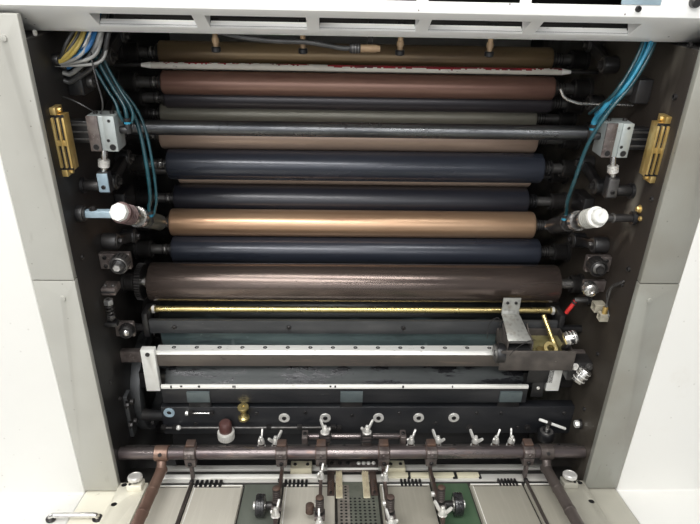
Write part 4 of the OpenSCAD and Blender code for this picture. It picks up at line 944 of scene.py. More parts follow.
# ---------------------------------------------------------------- bars across the unit
dress("tie_bar", [smeared, bearing], past(435), 1)
dress("front_bar", [bar_purple], bevel=0.8)

# White bar with a film of red ink on its upper side, thickest right of the middle
random.seed(5)
p = built("guard_bar", "_dressed")
p.mats = [white_red, red_ink]
c = (307, 1475.5)
part = bmesh.new()
xs = [-380 + 3.8 * k for k in range(201)]
rings = []
for x in xs:
    r = 6 + 0.12 * random.random()
    rings.append([part.verts.new((x, c[0] + r * math.cos(math.pi * k / 10), c[1] + r * math.sin(math.pi * k / 10)))
                  for k in range(20)])
level = 0.0
for x, p0, p1 in zip(xs, rings, rings[1:]):
    level = 0.82 * level + 0.30 * (random.random() - 0.42)
    rare = 0.55 if x < -60 else 0.0 if x < 320 else 0.5
    for k in range(20):
        j = (k + 1) % 20
        f = part.faces.new((p0[k], p0[j], p1[j], p1[k]))
        f.material_index = int(math.sin(math.pi * (k + 0.5) / 10)
                               > 0.50 + rare - level + 0.30 * (random.random() - 0.5))
part.faces.new(rings[0])
part.faces.new(rings[-1])
bmesh.ops.recalc_face_normals(part, faces=part.faces[:])
p.add(part)
for s in (-1, 1):
    p.lathe([(0, 0), (0, 6), (1, 6), (18, 3.5), (18, 0)], (s * 380, *c), (s, 0, 0), white_edge, 20)
    p.lathe([(0, 0), (0, 3.5), (51.4, 3.5), (52, 2.9), (52, 0)], (s * 398, *c), (s, 0, 0), bearing, 20)
p.done()

p = built("brass_tube", "_turned")
half = [(0, 6), (386, 6), (386, 6.9), (390, 6.9), (391, 6.2), (399, 6.2), (400, 5.2), (400, 4), (409.4, 4),
        (410, 3.4), (410, 0)]
p.lathe(mirrored(half), (0, 168, 1038), ALONG, brass, 32)
for s in (-1, 1):
    p.hexa((s * 392, 168, 1038), (s, 0, 0), 15, 6, nut_mat)
p.done()

dress("flat_bar", [dark_bar, black], past(399), 0.8)
p = built("gauge_bar")
p.prism(((100, 951), (122, 951), (122, 984), (105, 984), (100, 978)), -380, 380, gauge_front, 0.5)
p.prism(((100.2, 977.8), (99.4, 978.2), (103.9, 985), (122, 985), (122, 984)), -380, 380, gauge_white, 0.25, 1)
for i in range(15):
    x = (i - 7) * 43.6 - 43.6
    # Dark ring round each pin: painted shade of its hole
    p.disc((x, 114, 984.6), UP, 2.3, 4.1, 0.8, hole_black, 28)
    p.lathe([(0, 0), (0, 2.3), (0.5, 2.1), (0.5, 1), (0.1, 0.8), (0.1, 0)], (x, 114, 984.6), UP, knob_grey, 18)
p.done()
p = Piece("flat_bar_screws", slot="steel")
for x in (-352, -130, 95, 330):
    p.cap_screw((x, 144, 1011), FRONT, 9, bearing, 3)
p.done()
dress("gauge_end_plates", [plastic, clamp_face, bearing],
      lambda c, nn: 2 if c.y < 91.9 else (1 if c.y > 106.2 or (abs(c.x) > 410 and c.y > 105.8) else 0), bevel=1.0)

# ---------------------------------------------------------------- damping pan and water box
dress("damping_pan", [pan_mat, beam_mat, tab_mat, black],
      lambda c, nn: 2 if c.y < 93.8 else (3 if c.z < 866 or abs(c.x) > 380 else
                                          (1 if nn.y < -0.7 and c.y < 95 else 0)), bevel=0.5)
p = Piece("pan_lip_fold", slot="pan_metal")
p.box((-378, 90.6, 902.6), (345, 97.6, 910.4), white_edge, 1.6, 3)
random.seed(11)
for k in range(9):
    x = random.uniform(-370, 338)
    w = random.uniform(2, 5)
    p.box((x, 90.2, 902.2 + random.uniform(2, 5)), (x + w, 92, 910.7), black, 0.5, 1)
p.done()

p = built("water_box")
p.box((278, 62.5, 985), (404, 138, 990), box_mat, 0.8)
p.box((268, 60, 971), (409, 64, 1015), box_mat, 1.6, 3)
p.box((278, 134, 985), (404, 138, 1016), box_mat, 1.0)
p.box((400, 62, 985), (404, 136, 1016), box_mat, 1.0)
p.box((278, 62, 985), (300, 136, 1014), box_mat, 1.0)
p.box((299, 63, 989.5), (401, 135, 1001), sludge, 0.5)
p.cyl((262, 76, 1000), (278, 76, 1000), 38, black, 2, 40)
p.disc((262, 76, 1000), (-1, 0, 0), 6, 17, 1.4, knob_grey, 36)
# Sheet hood over the left part of the box, its ramp and the galvanised plate behind it
for x in (279, 325):
    p.prism(((66, 1012), (66, 1031), (97, 1035), (112, 1044), (112, 1012)), x, x + 2.4, box_mat, 0.6)
# Near-black floor and upright sheet under this hood: painted shade of its hollow
p.box((281, 66, 1012), (325, 110, 1014.4), hole_black, 0.4)
p.box((281, 95, 1014), (325, 97, 1031), hole_black, 0.4)
p.box((281, 65.4, 1029), (326, 70, 1031.6), knob_grey, 0.7)
p.sheet(((281, 68, 1030), (326, 68, 1030), (313, 124, 1056), (279, 124, 1056)), 1.8, galvanised)
p.prism(((124, 1053), (127, 1053), (131, 1060), (131, 1089), (128, 1089), (128, 1062)), 279, 313, galvanised, 0.8)
p.cap_screw((288, 128, 1079), FRONT, 6, bearing, 2)
p.cap_screw((304, 128, 1079), FRONT, 6, bearing, 2)
# Brass rod with its ring, the stub in the sludge and the two round clamps
p.cyl((366, 140, 1045), (388, 88, 988), 9, brass, 1, 24)
p.cyl((379, 109, 1011), (386, 93, 993.5), 12, brass, 1.4, 28)
p.lathe([(0, 7), (0, 13), (2, 13.6), (6, 13.6), (8, 13), (8, 7)], (364, 76, 1008), (0, -0.55, 0.835), brass, 40,
        None, True)
p.cyl((350, 84, 988), (350, 84, 1006), 16, brass, 1.5, 32)
p.cyl((392, 76, 1012), (392, 64, 1042), 16, black, 1, 28)
p.cyl((381, 62, 1041), (403, 62, 1048), 24, chrome, 2, 36)
for t in (0.25, 0.5, 0.75):
    a = Vector((381, 62, 1041)).lerp(Vector((403, 62, 1048)), t)
    p.disc(a, (22, 0, 7), 11.6, 12.7, 1.6, nut_mat, 32)
p.cap_screw((392, 50, 1046), FRONT, 7, bearing, 4)
p.cyl((422, 60, 946), (437, 62, 972), 24, chrome, 2, 36)
for t in (0.2, 0.5, 0.8):
    a = Vector((422, 60, 946)).lerp(Vector((437, 62, 972)), t)
    p.disc(a, (15, 2, 26), 11.6, 12.8, 1.8, nut_mat, 32)
p.box((406, 70, 940), (HALF, 100, 982), black, 1.6)
p.bolt((416, 70, 974), FRONT, 9, nut_mat)
p.bolt((444, 70, 974), FRONT, 9, knob_grey)
p.cyl((420, 72, 950), (428, 60, 948), 14, bearing, 1, 24)
p.tube(((239, 66, 1040), (238, 64, 1068), (241, 62, 1079), (250, 62, 1087), (257, 62, 1078), (261, 64, 1030),
        (263, 70, 1012)), 1.5, bearing, 8, 6)
p.tube(((326, 62, 1040), (312, 60, 1037), (294, 60, 1022), (284, 60, 1006)), 1.5, bearing, 8, 6)
p.done()
p = Piece("box_bracket", slot="dark_bar")
p.prism(((92, 917), (94, 917), (94, 951), (92, 951)), 339, 390, black, 0.4)
p.prism(((92, 882), (94, 882), (94, 918), (92, 918)), 352, 376, black, 0.4)
p.cap_screw((364, 92, 905), FRONT, 7, nut_mat, 2.4)
p.done()

# ---------------------------------------------------------------- fittings on the frames
p = built("roller_brackets")
for s in (-1, 1):
    for a, b in (((124, 1204), (214, 1172)), ((150, 1392), (262, 1428)), ((236, 1500), (318, 1524)),
                 ((168, 1300), (250, 1318))):
        va, vb = Vector((s * 434, *a)), Vector((s * 434, *b))
        across = (vb - va).normalized().cross(Vector(ALONG))
        corners = [q + k * 9 * across for q, k in ((va, -1), (vb, -1), (vb, 1), (va, 1))]
        p.prism([(q.y, q.z) for q in corners], s * 434 - 7, s * 434 + 7, black, 2.2, 3)
        for e in (a, b):
            p.cyl((s * HALF, *e), (s * (HALF - 26), *e), 30, black, 2.4, 36)
            p.disc((s * (HALF - 26), *e), (-s, 0, 0), 8.4, 12.6, 1.2, knob_grey, 30)
            p.bolt((s * (HALF - 26), *e), (-s, 0, 0), 11, bearing)
    p.box((s * 440 - 10, 205, 1220), (s * 440 + 10, 262, 1262), black, 2.5, 3)
    p.box((s * 438 - 12, 96, 1462), (s * 438 + 12, 140, 1500), black, 2.5, 3)
    p.cyl((s * 426, 118, 1481), (s * 416, 118, 1481), 22, knob_grey, 1.5, 32)
    p.cap_screw((s * 416, 118, 1481), (-s, 0, 0), 10, bearing, 3)
    for z in (1228, 1254):
        p.cap_screw((s * 430, 216, z), (-s, 0, 0), 6, bearing, 2.5)
p.done()

# Compressed air valve blocks with their cylinders, knurled nuts and forks
p = built("air_cylinders")
for s in (-1, 1):
    c = s * 396
    p.box((c - 21, 63, 1386), (c + 21, 98, 1440), alu, 1.6, 3)
    # The left part of each face is the darker clamp grey as painted shade, the right part the block's aluminium
    p.box((c - 21, 60, 1386), (c - 4, 63.4, 1440), clamp_face, 0.9)
    p.box((c + 4, 60, 1386), (c + 21, 63.4, 1440), alu, 0.9)
    # Port holes: near-black discs of painted shade in grey rims
    for x, z, d in ((-12, 1392.6, 8.4), (13, 1392.6, 8.4), (8, 1403, 3.6), (13, 1433, 3.4)):
        p.lathe([(0, 0), (0, d / 2), (0.5, d / 2), (0.5, 0)], (c + x, 60.2, z), FRONT, hole_black, 20)
        p.disc((c + x, 60.1, z), FRONT, d / 2, d / 2 + 0.9, 0.5, knob_grey, 20)
    for x in (-12, 13):
        p.cap_screw((c + x, 79, 1440), UP, 7, bearing, 4)
    p.box((s * 417, 70, 1396), (s * HALF, 90, 1430), black, 1.6, 3)
    for z in (1402, 1413, 1424):
        p.box((s * 419, 69, z - 1.6), (s * 447, 70.4, z + 1.6), knob_grey, 0.4, 1)
    p.cyl((s * 375, 80, 1415), (s * 362, 80, 1415), 12, black, 1.5, 28)
    p.cyl((s * 362, 80, 1409), (s * 362, 80, 1426), 11, black, 2, 28)
    p.disc((s * 362, 80, 1424.6), UP, 4, 5.4, 3.2, hose_blue, 24)
    a, b = Vector((s * 404, 80, 1388)), Vector((s * 411, 80, 1347))
    p.cyl(a, b, 10, chrome, 0.8, 28)
    way = (b - a).normalized()
    p.lathe([(0, 5), (0, 8), (0.8, 9), (3, 9), (3.6, 8.2), (4.2, 9), (7.6, 9), (8.2, 8.2), (8.8, 9), (11.2, 9),
             (12, 8), (12, 5)], (s * 407.5, 80, 1367), way, nut_mat, 12, None, True)
    p.disc(a - way * 1.5, way, 5, 8.2, 3.4, bearing, 30)
    p.box((s * 412 - 9, 74, 1312), (s * 412 + 9, 89, 1348), black, 1.6, 3)
    p.box((s * 412 - 8.4, 71, 1315), (s * 412 + 8.4, 74.4, 1346), sky_blue if s < 0 else knob_grey, 1.2, 3)
    p.cap_screw((s * 412, 71, 1324), FRONT, 7, bearing, 2.2)
    p.cyl((s * 421, 80, 1324), (s * HALF, 80, 1324), 18, bearing, 1.5, 36)
    p.disc((s * 444, 80, 1324), (s, 0, 0), 8.8, 13, 5.6, black, 36)
p.done()

# Recessed front faces of the catches are painted near black as shade
dress("wall_catches", [zinc, hole_black],
      lambda c, nn: 1 if nn.y < -0.7 and 23.3 < c.y < 24.6 and abs(nn.x) < 0.3 else 0, bevel=0.6)

# Lock handles: arm, head, ring, grip and barrel, turned about the slanting axis
p = built("lock_handles")
for s in (-1, 1):
    x = s * 379
    at = (x, 24, 1301.5)
    slant = Vector((-0.17 * s, 0.854, -0.492)).normalized()
    if s < 0:
        p.box((-HALF + 10, 37.8, 1284.2), (-388, 50.2, 1295.8), sky_blue, 1.6, 3)
        p.cyl((-HALF, 44, 1290), (-HALF + 12, 44, 1290), 26, black, 2, 36)
        p.disc((-HALF + 12, 44, 1290), ALONG, 8, 10.6, 3, bearing, 32)
        p.bolt((-424, 44, 1295.8), UP, 7, bearing)
        p.lathe([(0, 0), (0, 9), (0.6, 13.2), (1.6, 14.4), (9.4, 14.8), (10.4, 13.6), (10.4, 0)], at, slant, plastic, 8)
        p.lathe([(0, 0), (0, 5.4), (-1.2, 5), (-1.2, 0)], at, slant, white_edge, 24)
    else:
        p.cyl((HALF, 44, 1290), (388, 44, 1290), 12.6, bearing, 1, 32)
        p.disc((HALF - 6, 44, 1290), (-1, 0, 0), 6, 11.4, 5, black, 36)
        p.disc((410, 44, 1290), (-1, 0, 0), 6.2, 8, 3, knob_grey, 32)
        p.bolt((HALF, 44, 1306), (-1, 0, 0), 8, zinc)
        p.lathe([(0, 0), (-1.5, 3), (-3, 8), (-2, 11.6), (0.5, 13.2), (8, 13.2), (10.4, 12), (10.4, 0)], at, slant,
                plastic, 36)
    skin = grip if s < 0 else strip
    p.lathe([(9, 0), (9, 15.6), (10, 17), (15, 17), (16.4, 15.8), (16.4, 0)], at, slant,
            white_edge if s > 0 else grip, 44)
    p.lathe([(15, 0), (15, 14.6), (17, 15.6), (26, 15.8), (38, 15.0), (40, 13.6), (40, 0)], at, slant, skin, 44)
    for k in range(4):
        p.lathe([(19 + 5 * k, 15.2), (19.4 + 5 * k, 16.4), (21.4 + 5 * k, 16.4), (21.8 + 5 * k, 15.2)], at, slant,
                skin, 44, None, True)
    p.disc(Vector(at) + slant * 39, slant, 9, 16.4, 4, chrome, 44)
    p.lathe([(42, 0), (42, 13.6), (100, 13.6), (101, 14), (143, 14), (146, 12.6), (146, 0)], at, slant,
            olive_dark if s < 0 else bearing, 44)
    p.disc(Vector(at) + slant * 62, slant, 12, 17, 9, chrome, 44)
    p.disc(Vector(at) + slant * 92, slant, 12, 15.2, 3, knob_grey, 44)
    p.lathe([(145, 0), (145, 8), (158, 8), (159.3, 6.6), (159.3, 0)], at, slant, chrome, 32)
    p.cyl((s * 368, 97, 1259), (s * 353, 97, 1259), 10, black, 1, 24)
    p.cyl((s * 353, 97, 1254), (s * 353, 97, 1268), 10, black, 1.4, 24)
    p.disc((s * 353, 97, 1264), UP, 4, 5.6, 4, hose_blue, 24)
p.done()

# Knobs, blocks, levers and screws that set the rollers
p = built("roller_adjusters")
for x in (-411, 420):
    at = (x, 92, 1182)
    p.lathe([(0, 0), (0, 16), (19, 16), (21, 15.2), (22, 13.6), (20.4, 12.6), (17, 12.4), (17, 0)], at, FRONT,
            knob_grey if x < 0 else bearing, 48)
    p.knurls((x, 90, 1182), 16, 16, (-1.1, -15, -0.8), (1.1, 0, 0.5), bearing, "Y", 0.4)
    p.lathe([(0, 0), (0, 11.4), (3, 11), (5, 9), (5.6, 6.4), (5.6, 0)], (x, 75.4, 1182), FRONT,
            black if x < 0 else knob_grey, 40)
    p.hexa((x, 70, 1182), FRONT, 12.6, 8, steel if x < 0 else bearing)
    s = -1 if x < 0 else 1
    p.box((s * HALF, 92, 1165), (x - s * 14, 104, 1195), clamp_face, 1.6, 3)
    for z in (1188, 1171):
        p.cap_screw((s * 440, 92, z), FRONT, 7, bearing, 3)
p.lathe([(0, 0), (0, 13), (14, 13), (16, 12), (18, 9), (18, 5), (15, 4.6), (15, 0)], (418, 92, 1135), FRONT,
        chrome, 44)
p.disc((418, 92, 1135), FRONT, 11, 13.6, 4, black, 44)
p.box((410, 92, 1124), (HALF, 102, 1146), clamp_face, 1.4, 3)
p.box((-HALF, 74, 1122), (-425, 104, 1136), clamp_face, 1.8, 3)
p.box((-HALF + 1, 73, 1127.4), (-426, 75, 1130.6), black, 0.4, 1)
for x in (-444, -431):
    p.cap_screw((x, 84, 1136), UP, 6.4, knob_grey, 3)
p.cyl((-438, 70, 1072), (-438, 70, 1118), 6, bearing, 0.8, 20)
p.spring((-438, 70, 1074), (-438, 70, 1112), 12.6, 3, 6, bearing)
p.hexa((-438, 70, 1108), UP, 15, 9, steel)
p.hexa((-438, 70, 1080), UP, 13, 6, knob_grey)
p.box((-HALF, 62, 1064), (-428, 78, 1072), black, 1)
p.lathe([(0, 0), (0, 13), (13, 13), (15, 12.4), (16.4, 11), (16.4, 8.4), (15, 7.6), (18.4, 4.4), (20, 0)],
        (-426, 104, 1034), FRONT, black, 48)
p.lathe([(0, 0), (0, 7.4), (1.6, 6.6), (3.6, 4.4), (4.6, 0)], (-426, 88.4, 1034), FRONT, chrome, 36)
p.knurls((-426, 103, 1034), 13, 20, (-0.9, -12, -0.6), (0.9, 0, 0.5), black, "Y")
p.box((-HALF, 104, 1016), (-415, 114, 1046), clamp_face, 1.6, 3)
p.cyl((419, 128, 1086), (404, 128, 1056), 8, red_paint, 3.2, 28)
p.disc((417, 128, 1082), (-15, 0, -30), 3.6, 6, 4, bearing, 28)
p.cyl((415, 128, 1086), (HALF, 128, 1086), 10, knob_grey, 1, 28)
p.disc((HALF - 6, 128, 1086), (-1, 0, 0), 5, 9, 5, black, 30)
# Two square tubes, open towards the middle
for (y0, z0, y1, z1, x0) in ((72, 1092, 90, 1108, 430), (54, 1084, 68, 1099, 434)):
    t = 2
    p.box((x0, y0, z0), (HALF, y1, z0 + t), cream_dirty, 0.5, 1)
    p.box((x0, y0, z1 - t), (HALF, y1, z1), cream_dirty, 0.5, 1)
    p.box((x0, y0, z0 + 1), (HALF, y0 + t, z1 - 1), cream_dirty, 0.5, 1)
    p.box((x0, y1 - t, z0 + 1), (HALF, y1, z1 - 1), cream_dirty, 0.5, 1)
    # Near-black box inside each tube: painted shade of its hollow
    p.box((x0 + 8, y0 + 1, z0 + 1), (HALF, y1 - 1, z1 - 1), hole_black, 0.3, 1)
p.tube(((448.5, 33, 1180), (446.5, 35, 1176), (443, 52, 1158), (442, 57.5, 1149), (442, 58.4, 1138),
        (442, 59, 1108)), 3.6, knob_grey, 12, 6)
p.cyl((442, 59, 1099), (442, 59, 1112), 9, zinc, 1, 24)
p.cyl((HALF, 58, 842), (HALF - 5, 58, 842), 20, bearing, 1, 36)
p.hexa((HALF - 5, 58, 842), (-1, 0, 0), 13, 8, nut_mat)
for (y, z) in ((30, 1204), (26, 1488)):
    p.cap_screw((HALF, y, z), (-1, 0, 0), 9, bearing, 4)
p.done()

p = Piece("wall_screws", slot="bearing_steel")
for x, y, z, mt in ((-450, 24, 1560, nut_mat), (450, 22, 1560, bearing), (450, 17, 1334, bearing),
                    (450, 38, 1170, bearing), (450, 35, 1293, zinc), (450, 58, 880, bearing),
                    (-450, 30, 1220, bearing), (-450, 40, 960, bearing), (-450, 66, 900, bearing),
                    (450, 140, 1180, knob_grey), (-450, 150, 1250, knob_grey), (450, 60, 1010, bearing)):
    p.cap_screw((x, y, z), (-1 if x > 0 else 1, 0, 0), 8, mt, 3)
p.tube(((450, 37, 1178), (447, 66, 1152), (447, 75, 1127), (448, 52, 1095)), 2, cable_dark, 8, 6)
p.tube(((315, 122, 1479), (324, 122, 1466), (340, 122, 1459), (360, 122, 1456), (438, 122, 1455)), 5, chrome, 12, 5)
p.done()

# ---------------------------------------------------------------- rail, pins, tubes and cables under the hood
p = built("key_rail")
# Near-black plate under the hood behind the pins: painted shade
p.box((-340, 80, 1578), (340, 150, 1584), hood_inside, 1)
for x in (-220, -92, 52, 186):
    p.lathe([(0, 0), (0, 5.4), (1.4, 6.8), (6.6, 7), (8, 6), (8, 0)], (x, 90, 1530), UP, black, 32)
    p.lathe([(7.6, 0), (7.6, 4), (13, 4), (13.4, 5.4), (20, 5.4), (20.6, 4), (47, 4), (47, 0)], (x, 90, 1530),
            UP, tan_pin, 28)
    p.cyl((x, 90, 1572), (x, 90, 1578), 15, black, 1, 6)
p.cyl((-24, 60, 1543), (-8, 60, 1543), 14, black, 2, 32)
p.lathe([(0, 0), (0, 5), (3, 5.4), (22, 5.4), (25, 4.4), (28, 4.4), (28, 0)], (-8, 60, 1543), ALONG, tan_pin, 30)
for k in range(3):
    p.disc((-20 + 4 * k, 60, 1543), ALONG, 6, 7.3, 1.6, knob_grey, 30)
p.box((4, 60, 1540), (12, 100, 1546), bearing, 0.8)
p.box((4, 94, 1546), (12, 100, 1578), bearing, 0.8)
p.done()

PORT_H = FRAME_H + 32


def from_port(x, y, *rest):
    """Route of a tube or cable that comes forward out of its port."""
    return ((x, 120, PORT_H), (x, y, PORT_H), *rest)


FEED = from_port(414, 94, (408, 70, 1562), (396, 62, 1525), (376, 60, 1485), (364, 66, 1458),
        (362, 80, 1440), (362, 80, 1427))
LOCK = from_port(426, 92, (418, 62, 1555), (396, 52, 1505), (366, 48, 1460), (346, 50, 1410),
        (340, 58, 1350), (344, 80, 1305), (353, 97, 1280), (353, 97, 1267))
FEED_L = from_port(-414, 108, (-400, 96, 1525), (-382, 92, 1480), (-366, 84, 1454),
          (-362, 80, 1440), (-362, 80, 1427))
LOCK_L = from_port(-426, 112, (-408, 110, 1520), (-388, 112, 1478), (-366, 108, 1446),
          (-352, 100, 1410), (-345, 90, 1350), (-347, 92, 1300), (-353, 97, 1280), (-353, 97, 1267))
p = built("air_tubes")
for route, mt in ((FEED, hose_blue), (LOCK, hose_dark), (FEED_L, hose_dark), (LOCK_L, hose_dark)):
    p.tube(route, 8 if mt is hose_blue else 6, mt, 16, 7)
    for end, nxt in ((route[0], route[1]), (route[-1], route[-2])):
        way = (Vector(nxt) - Vector(end)).normalized()
        p.disc(Vector(end) + way * 1.5, way, 3.9, 6, 5, bearing, 24)
p.done()
p = Piece("tube_bundle_left", slot="hose_blue")
for dx, dy, dz, d, mt in ((-9, -6, 3, 4.6, hose_dark), (9, 3, -3, 4.6, hose_dark), (-3, 9, 6, 4, cable_dark)):
    for line, n in ((FEED_L, len(FEED_L) - 1), (LOCK_L, len(LOCK_L) - 1)):
        if line is LOCK_L and dx != 9:
            continue
        p.tube([Vector(q) + Vector((dx, dy, dz)) * (1 if 0 < i < n else 0.6) for i, q in enumerate(line)],
               d, mt, 12, 7)
p.done()
p = Piece("tube_bundle_right", slot="hose_blue")
for dx, dy, dz, mt, n in ((9, -4, 2, hose_blue, 6), (-7, -7, -2, hose_dark, 5), (3, -10, 3, hose_blue, 5)):
    route = [Vector(q) + Vector((dx, dy, dz)) for q in FEED[:n]]
    route[0].y, route[1].y = 122, 94
    p.tube([*route, *((FEED[n][0] + 6 + dx, 96 + 2 * n, FEED[n][2] - 14),)], 5.6, mt, 14, 7)
p.tube(((-396, 78, 1538), (-395, 66, 1522), (-389, 56, 1492), (-386, 56, 1466), (-390, 62, 1450), (-400, 78, 1440)),
       2.6, cable_dark, 10, 7)
p.tube(((-448, 70, 1466), (-430, 62, 1462), (-412, 62, 1452), (-404, 74, 1441)), 2.4, cable_dark, 10, 7)
p.done()

CABLES = (
    (12, cable_yellow, from_port(-402, 98, (-408, 76, 1556), (-420, 66, 1536),
                        (-438, 68, 1519), (-450, 68, 1519))),
    (10, cable_blue, from_port(-386, 96, (-393, 76, 1556), (-408, 72, 1532),
                      (-438, 88, 1508), (-450, 88, 1508))),
    (7, cable_grey, from_port(-373, 94, (-380, 76, 1556), (-398, 74, 1526),
                     (-436, 90, 1497), (-450, 90, 1497))),
    (7, cable_dark, from_port(-362, 94, (-370, 76, 1552), (-388, 80, 1518),
                     (-436, 88, 1486), (-450, 88, 1486))),
    (7, cable_dark, ((-232, 92, 1578), (-232, 92, 1571), (-222, 73, 1564), (-184, 61, 1556), (-132, 59, 1551),
                     (-84, 60, 1550), (-36, 60, 1543), (-24, 60, 1543))))
p = built("cable_bundle")
for d, mt, route in CABLES:
    p.tube(route, d, mt, 18, 8)
    if d > 8:
        # Line along the upper front of each thick cable: white on the blue cable as a painted highlight, dark on the
        # yellow cable as its real second colour
        highlight_and_band_line = [Vector(q) + Vector((0.12 * d, -0.36 * d, 0.30 * d)) for q in route]
        p.tube(highlight_and_band_line, 0.34 * d, white_edge if d < 12 else cable_dark, 8, 8)
        p.cyl((-HALF, route[-1][1], route[-1][2]), (-HALF + 9, route[-1][1], route[-1][2]), d + 6, black, 1.4, 28)
p.done()
p = Piece("cable_bundle_more", slot="cable")
for dx, dy, dz, d, mt in ((6, -9, -4, 5, cable_yellow), (13, -8, -9, 4.4, cable_grey), (20, -5, -3, 6, cable_blue),
                          (27, -2, -12, 5, cable_grey), (-5, -6, 6, 5, cable_dark), (33, 2, -20, 4.4, cable_grey)):
    route = [Vector(q) + Vector((dx, dy, dz)) for q in CABLES[0][2]]
    route[0] = Vector((route[0].x, 122, 1586))
    route[1] = Vector((route[1].x, 96, 1584))
    route[-2] -= Vector((0.75 * dx, 0.5 * dy, 0.6 * dz))
    route[-1] = Vector((-450, route[-2].y, route[-2].z))
    p.tube(route, d, mt, 12, 8)
p.done()

dress("wall_ring", [ring_mat, hole_black, bearing],
      lambda c, nn: 2 if c.y < 106 and c.x > -442.2 else 0, bevel=1.6, segs=3)
p = Piece("ring_bolts", slot="cast_frame")
for k in range(10):
    a = math.radians(36 * k + 8)
    p.bolt((-430, 222 + 98 * math.cos(a), 833 + 98 * math.sin(a)), ALONG, 8, bearing)
for z in (881, 831):
    p.bolt((-442, 70, z), ALONG, 9, bearing)
p.done()

# ---------------------------------------------------------------- dark beam and what sits on it
dress("lay_beam", [beam_mat, black], lambda c, nn: 1 if c.x < -386 else 0, bevel=1.6, segs=3)
p = built("beam_fittings")
for i, x in enumerate((-370, -141, -58, 50, 132, 204)):
    z = 840 if x < -300 else 826
    p.disc((x, 96, z), FRONT, 4.6, 11, 2.5, sky_blue if i == 0 else nut_mat, 40)
    if i == 0:
        # Near-black disc in the blue fitting: painted shade of its hole
        p.lathe([(0, 0), (0, 4.8), (1.2, 4.8), (1.2, 0)], (x, 96, z), FRONT, hole_black, 24)
    else:
        p.cap_screw((x, 96, z), FRONT, 9, bearing, 3.6)
p.cyl((-388, 90, 805), (-36, 90, 805), 5, knob_grey, 1, 20)
for x in (-384, -362, -172, -110, -42):
    p.box((x - 5, 87, 801), (x + 5, 96, 809), bearing, 0.9)
p.lathe([(0, 0), (0.8, 2.6), (3, 4.6), (6, 5.6), (9, 4.6), (11.2, 2.6), (12, 0)], (-354, 90, 799), UP, nut_mat, 24)
p.cyl((-325, 91, 842), (-285, 91, 842), 4, chrome, 0.6, 20)
p.box((-331, 88, 837), (-321, 96, 847), bearing, 1)
p.hexa((-331, 91, 842), (-1, 0, 0), 8, 6, nut_mat)
p.box((-289, 89, 838), (-281, 96, 846), bearing, 1)
p.lathe([(0, 0), (0, 11), (1, 11.2), (4.6, 11), (5.6, 9), (8, 7), (14, 5.8), (17, 5.8), (23, 7), (25.4, 9),
         (26.4, 11), (30, 11.2), (31, 10.6), (31, 4), (29.6, 3.6), (29.6, 0)], (-220, 84, 834), UP, brass, 40)
p.box((-223, 84, 844), (-217, 96, 852), bearing, 0.8)
p.lathe([(0, 0), (0, 15.6), (1, 16.4), (18, 16.4), (19, 15.8), (19, 0)], (-257, 78, 789), UP, strip_steel, 48)
p.knurls((-257, 78, 789), 16.3, 28, (-0.9, -0.5, 1.2), (0.9, 0.7, 17.6), nut_mat)
p.lathe([(18.6, 0), (18.6, 12.4), (21, 13), (38, 12.4), (42, 9.6), (43, 6), (43, 0)], (-257, 78, 789), UP,
        knob_red, 40)
p.box((-262, 86, 792), (-252, 96, 804), bearing, 0.8)
p.lathe([(0, 0), (0, 13), (2, 16.4), (17, 16.4), (20, 14.4), (20, 0)], (393, 77, 786), UP, black, 44)
p.disc((393, 77, 806), UP, 8, 13, 1.6, knob_grey, 40)
p.cyl((393, 77, 806), (393, 77, 828), 9, chrome, 0.8, 28)
p.cyl((373, 77, 837), (431, 77, 812), 6, plastic, 1.4, 24)
p.disc((393 - 3.6, 77, 829.8), (58, 0, -25), 2.8, 5.6, 8, bearing, 28)
p.box((388, 86, 788), (398, 96, 800), bearing, 0.8)
p.done()
p = Piece("beam_bolts", slot="steel")
for x, z in ((-320, 812), (-196, 838), (-98, 840), (-4, 832), (92, 838), (168, 812), (250, 838), (300, 838), (340, 800),
             (430, 838)):
    p.cap_screw((x, 96, z), FRONT, 7, bearing, 2.6)
for x in (-250, -30, 240, 360):
    p.bolt((x, 96, 800), FRONT, 8, bearing)
p.done()

# ---------------------------------------------------------------- feed table
def on_board(c):
    return BOARD_BACK @ Vector(c)


# Under the plates the slab is painted near black as shade; the right plates get the darker copy of the plate colour,
# painted shade
dress("feed_table", [slab_painted_shade, table_l, table_r],
      lambda c, nn: 0 if on_board(c).z < -5.9 else (1 if c.x < 0 else 2), bevel=0.7)
# Counterbore bottoms are painted near black as shade, and the right rail gets the darker copy of the cream paint,
# painted shade
dress("table_rails", [rail_mat, rail_painted_shade, hole_black],
      lambda c, nn: 2 if on_board(c).z < 3 and on_board(c).z > -0.3 and abs(c.x) > 434 and abs(nn.x) < 0.99
      and abs(c.x) < 449 else (0 if c.x < 0 else 1), bevel=0.7)
dress("green_tapes", [tape_l, tape_r], left_right, 0.5)
dress("suction_belt", [belt_brown, belt_green], lambda c, nn: 1, bevel=0.5)

# Belt: a brown left column and rows of punched holes, each a thin near-black disc of painted shade
p = Piece("belt_holes", UNIT @ BOARD, slot="belt")
p.box((-33.4, -430, -1), (-11, -4, -0.4), belt_brown, 0.2, 1)
for j in range(50):
    for i in range(8):
        x = -26.4 + 8.6 * i
        if i > 1 and -40 < -8 - 8.5 * j and abs(x - 5) < 24:
            continue
        z = -0.4 if x < -11 else -1.0
        p.lathe([(0, 0), (0, 2.5), (0.12, 2.5), (0.12, 0)], (x, -10 - 8.5 * j, z), UP, hole_black, 8)
p.done()
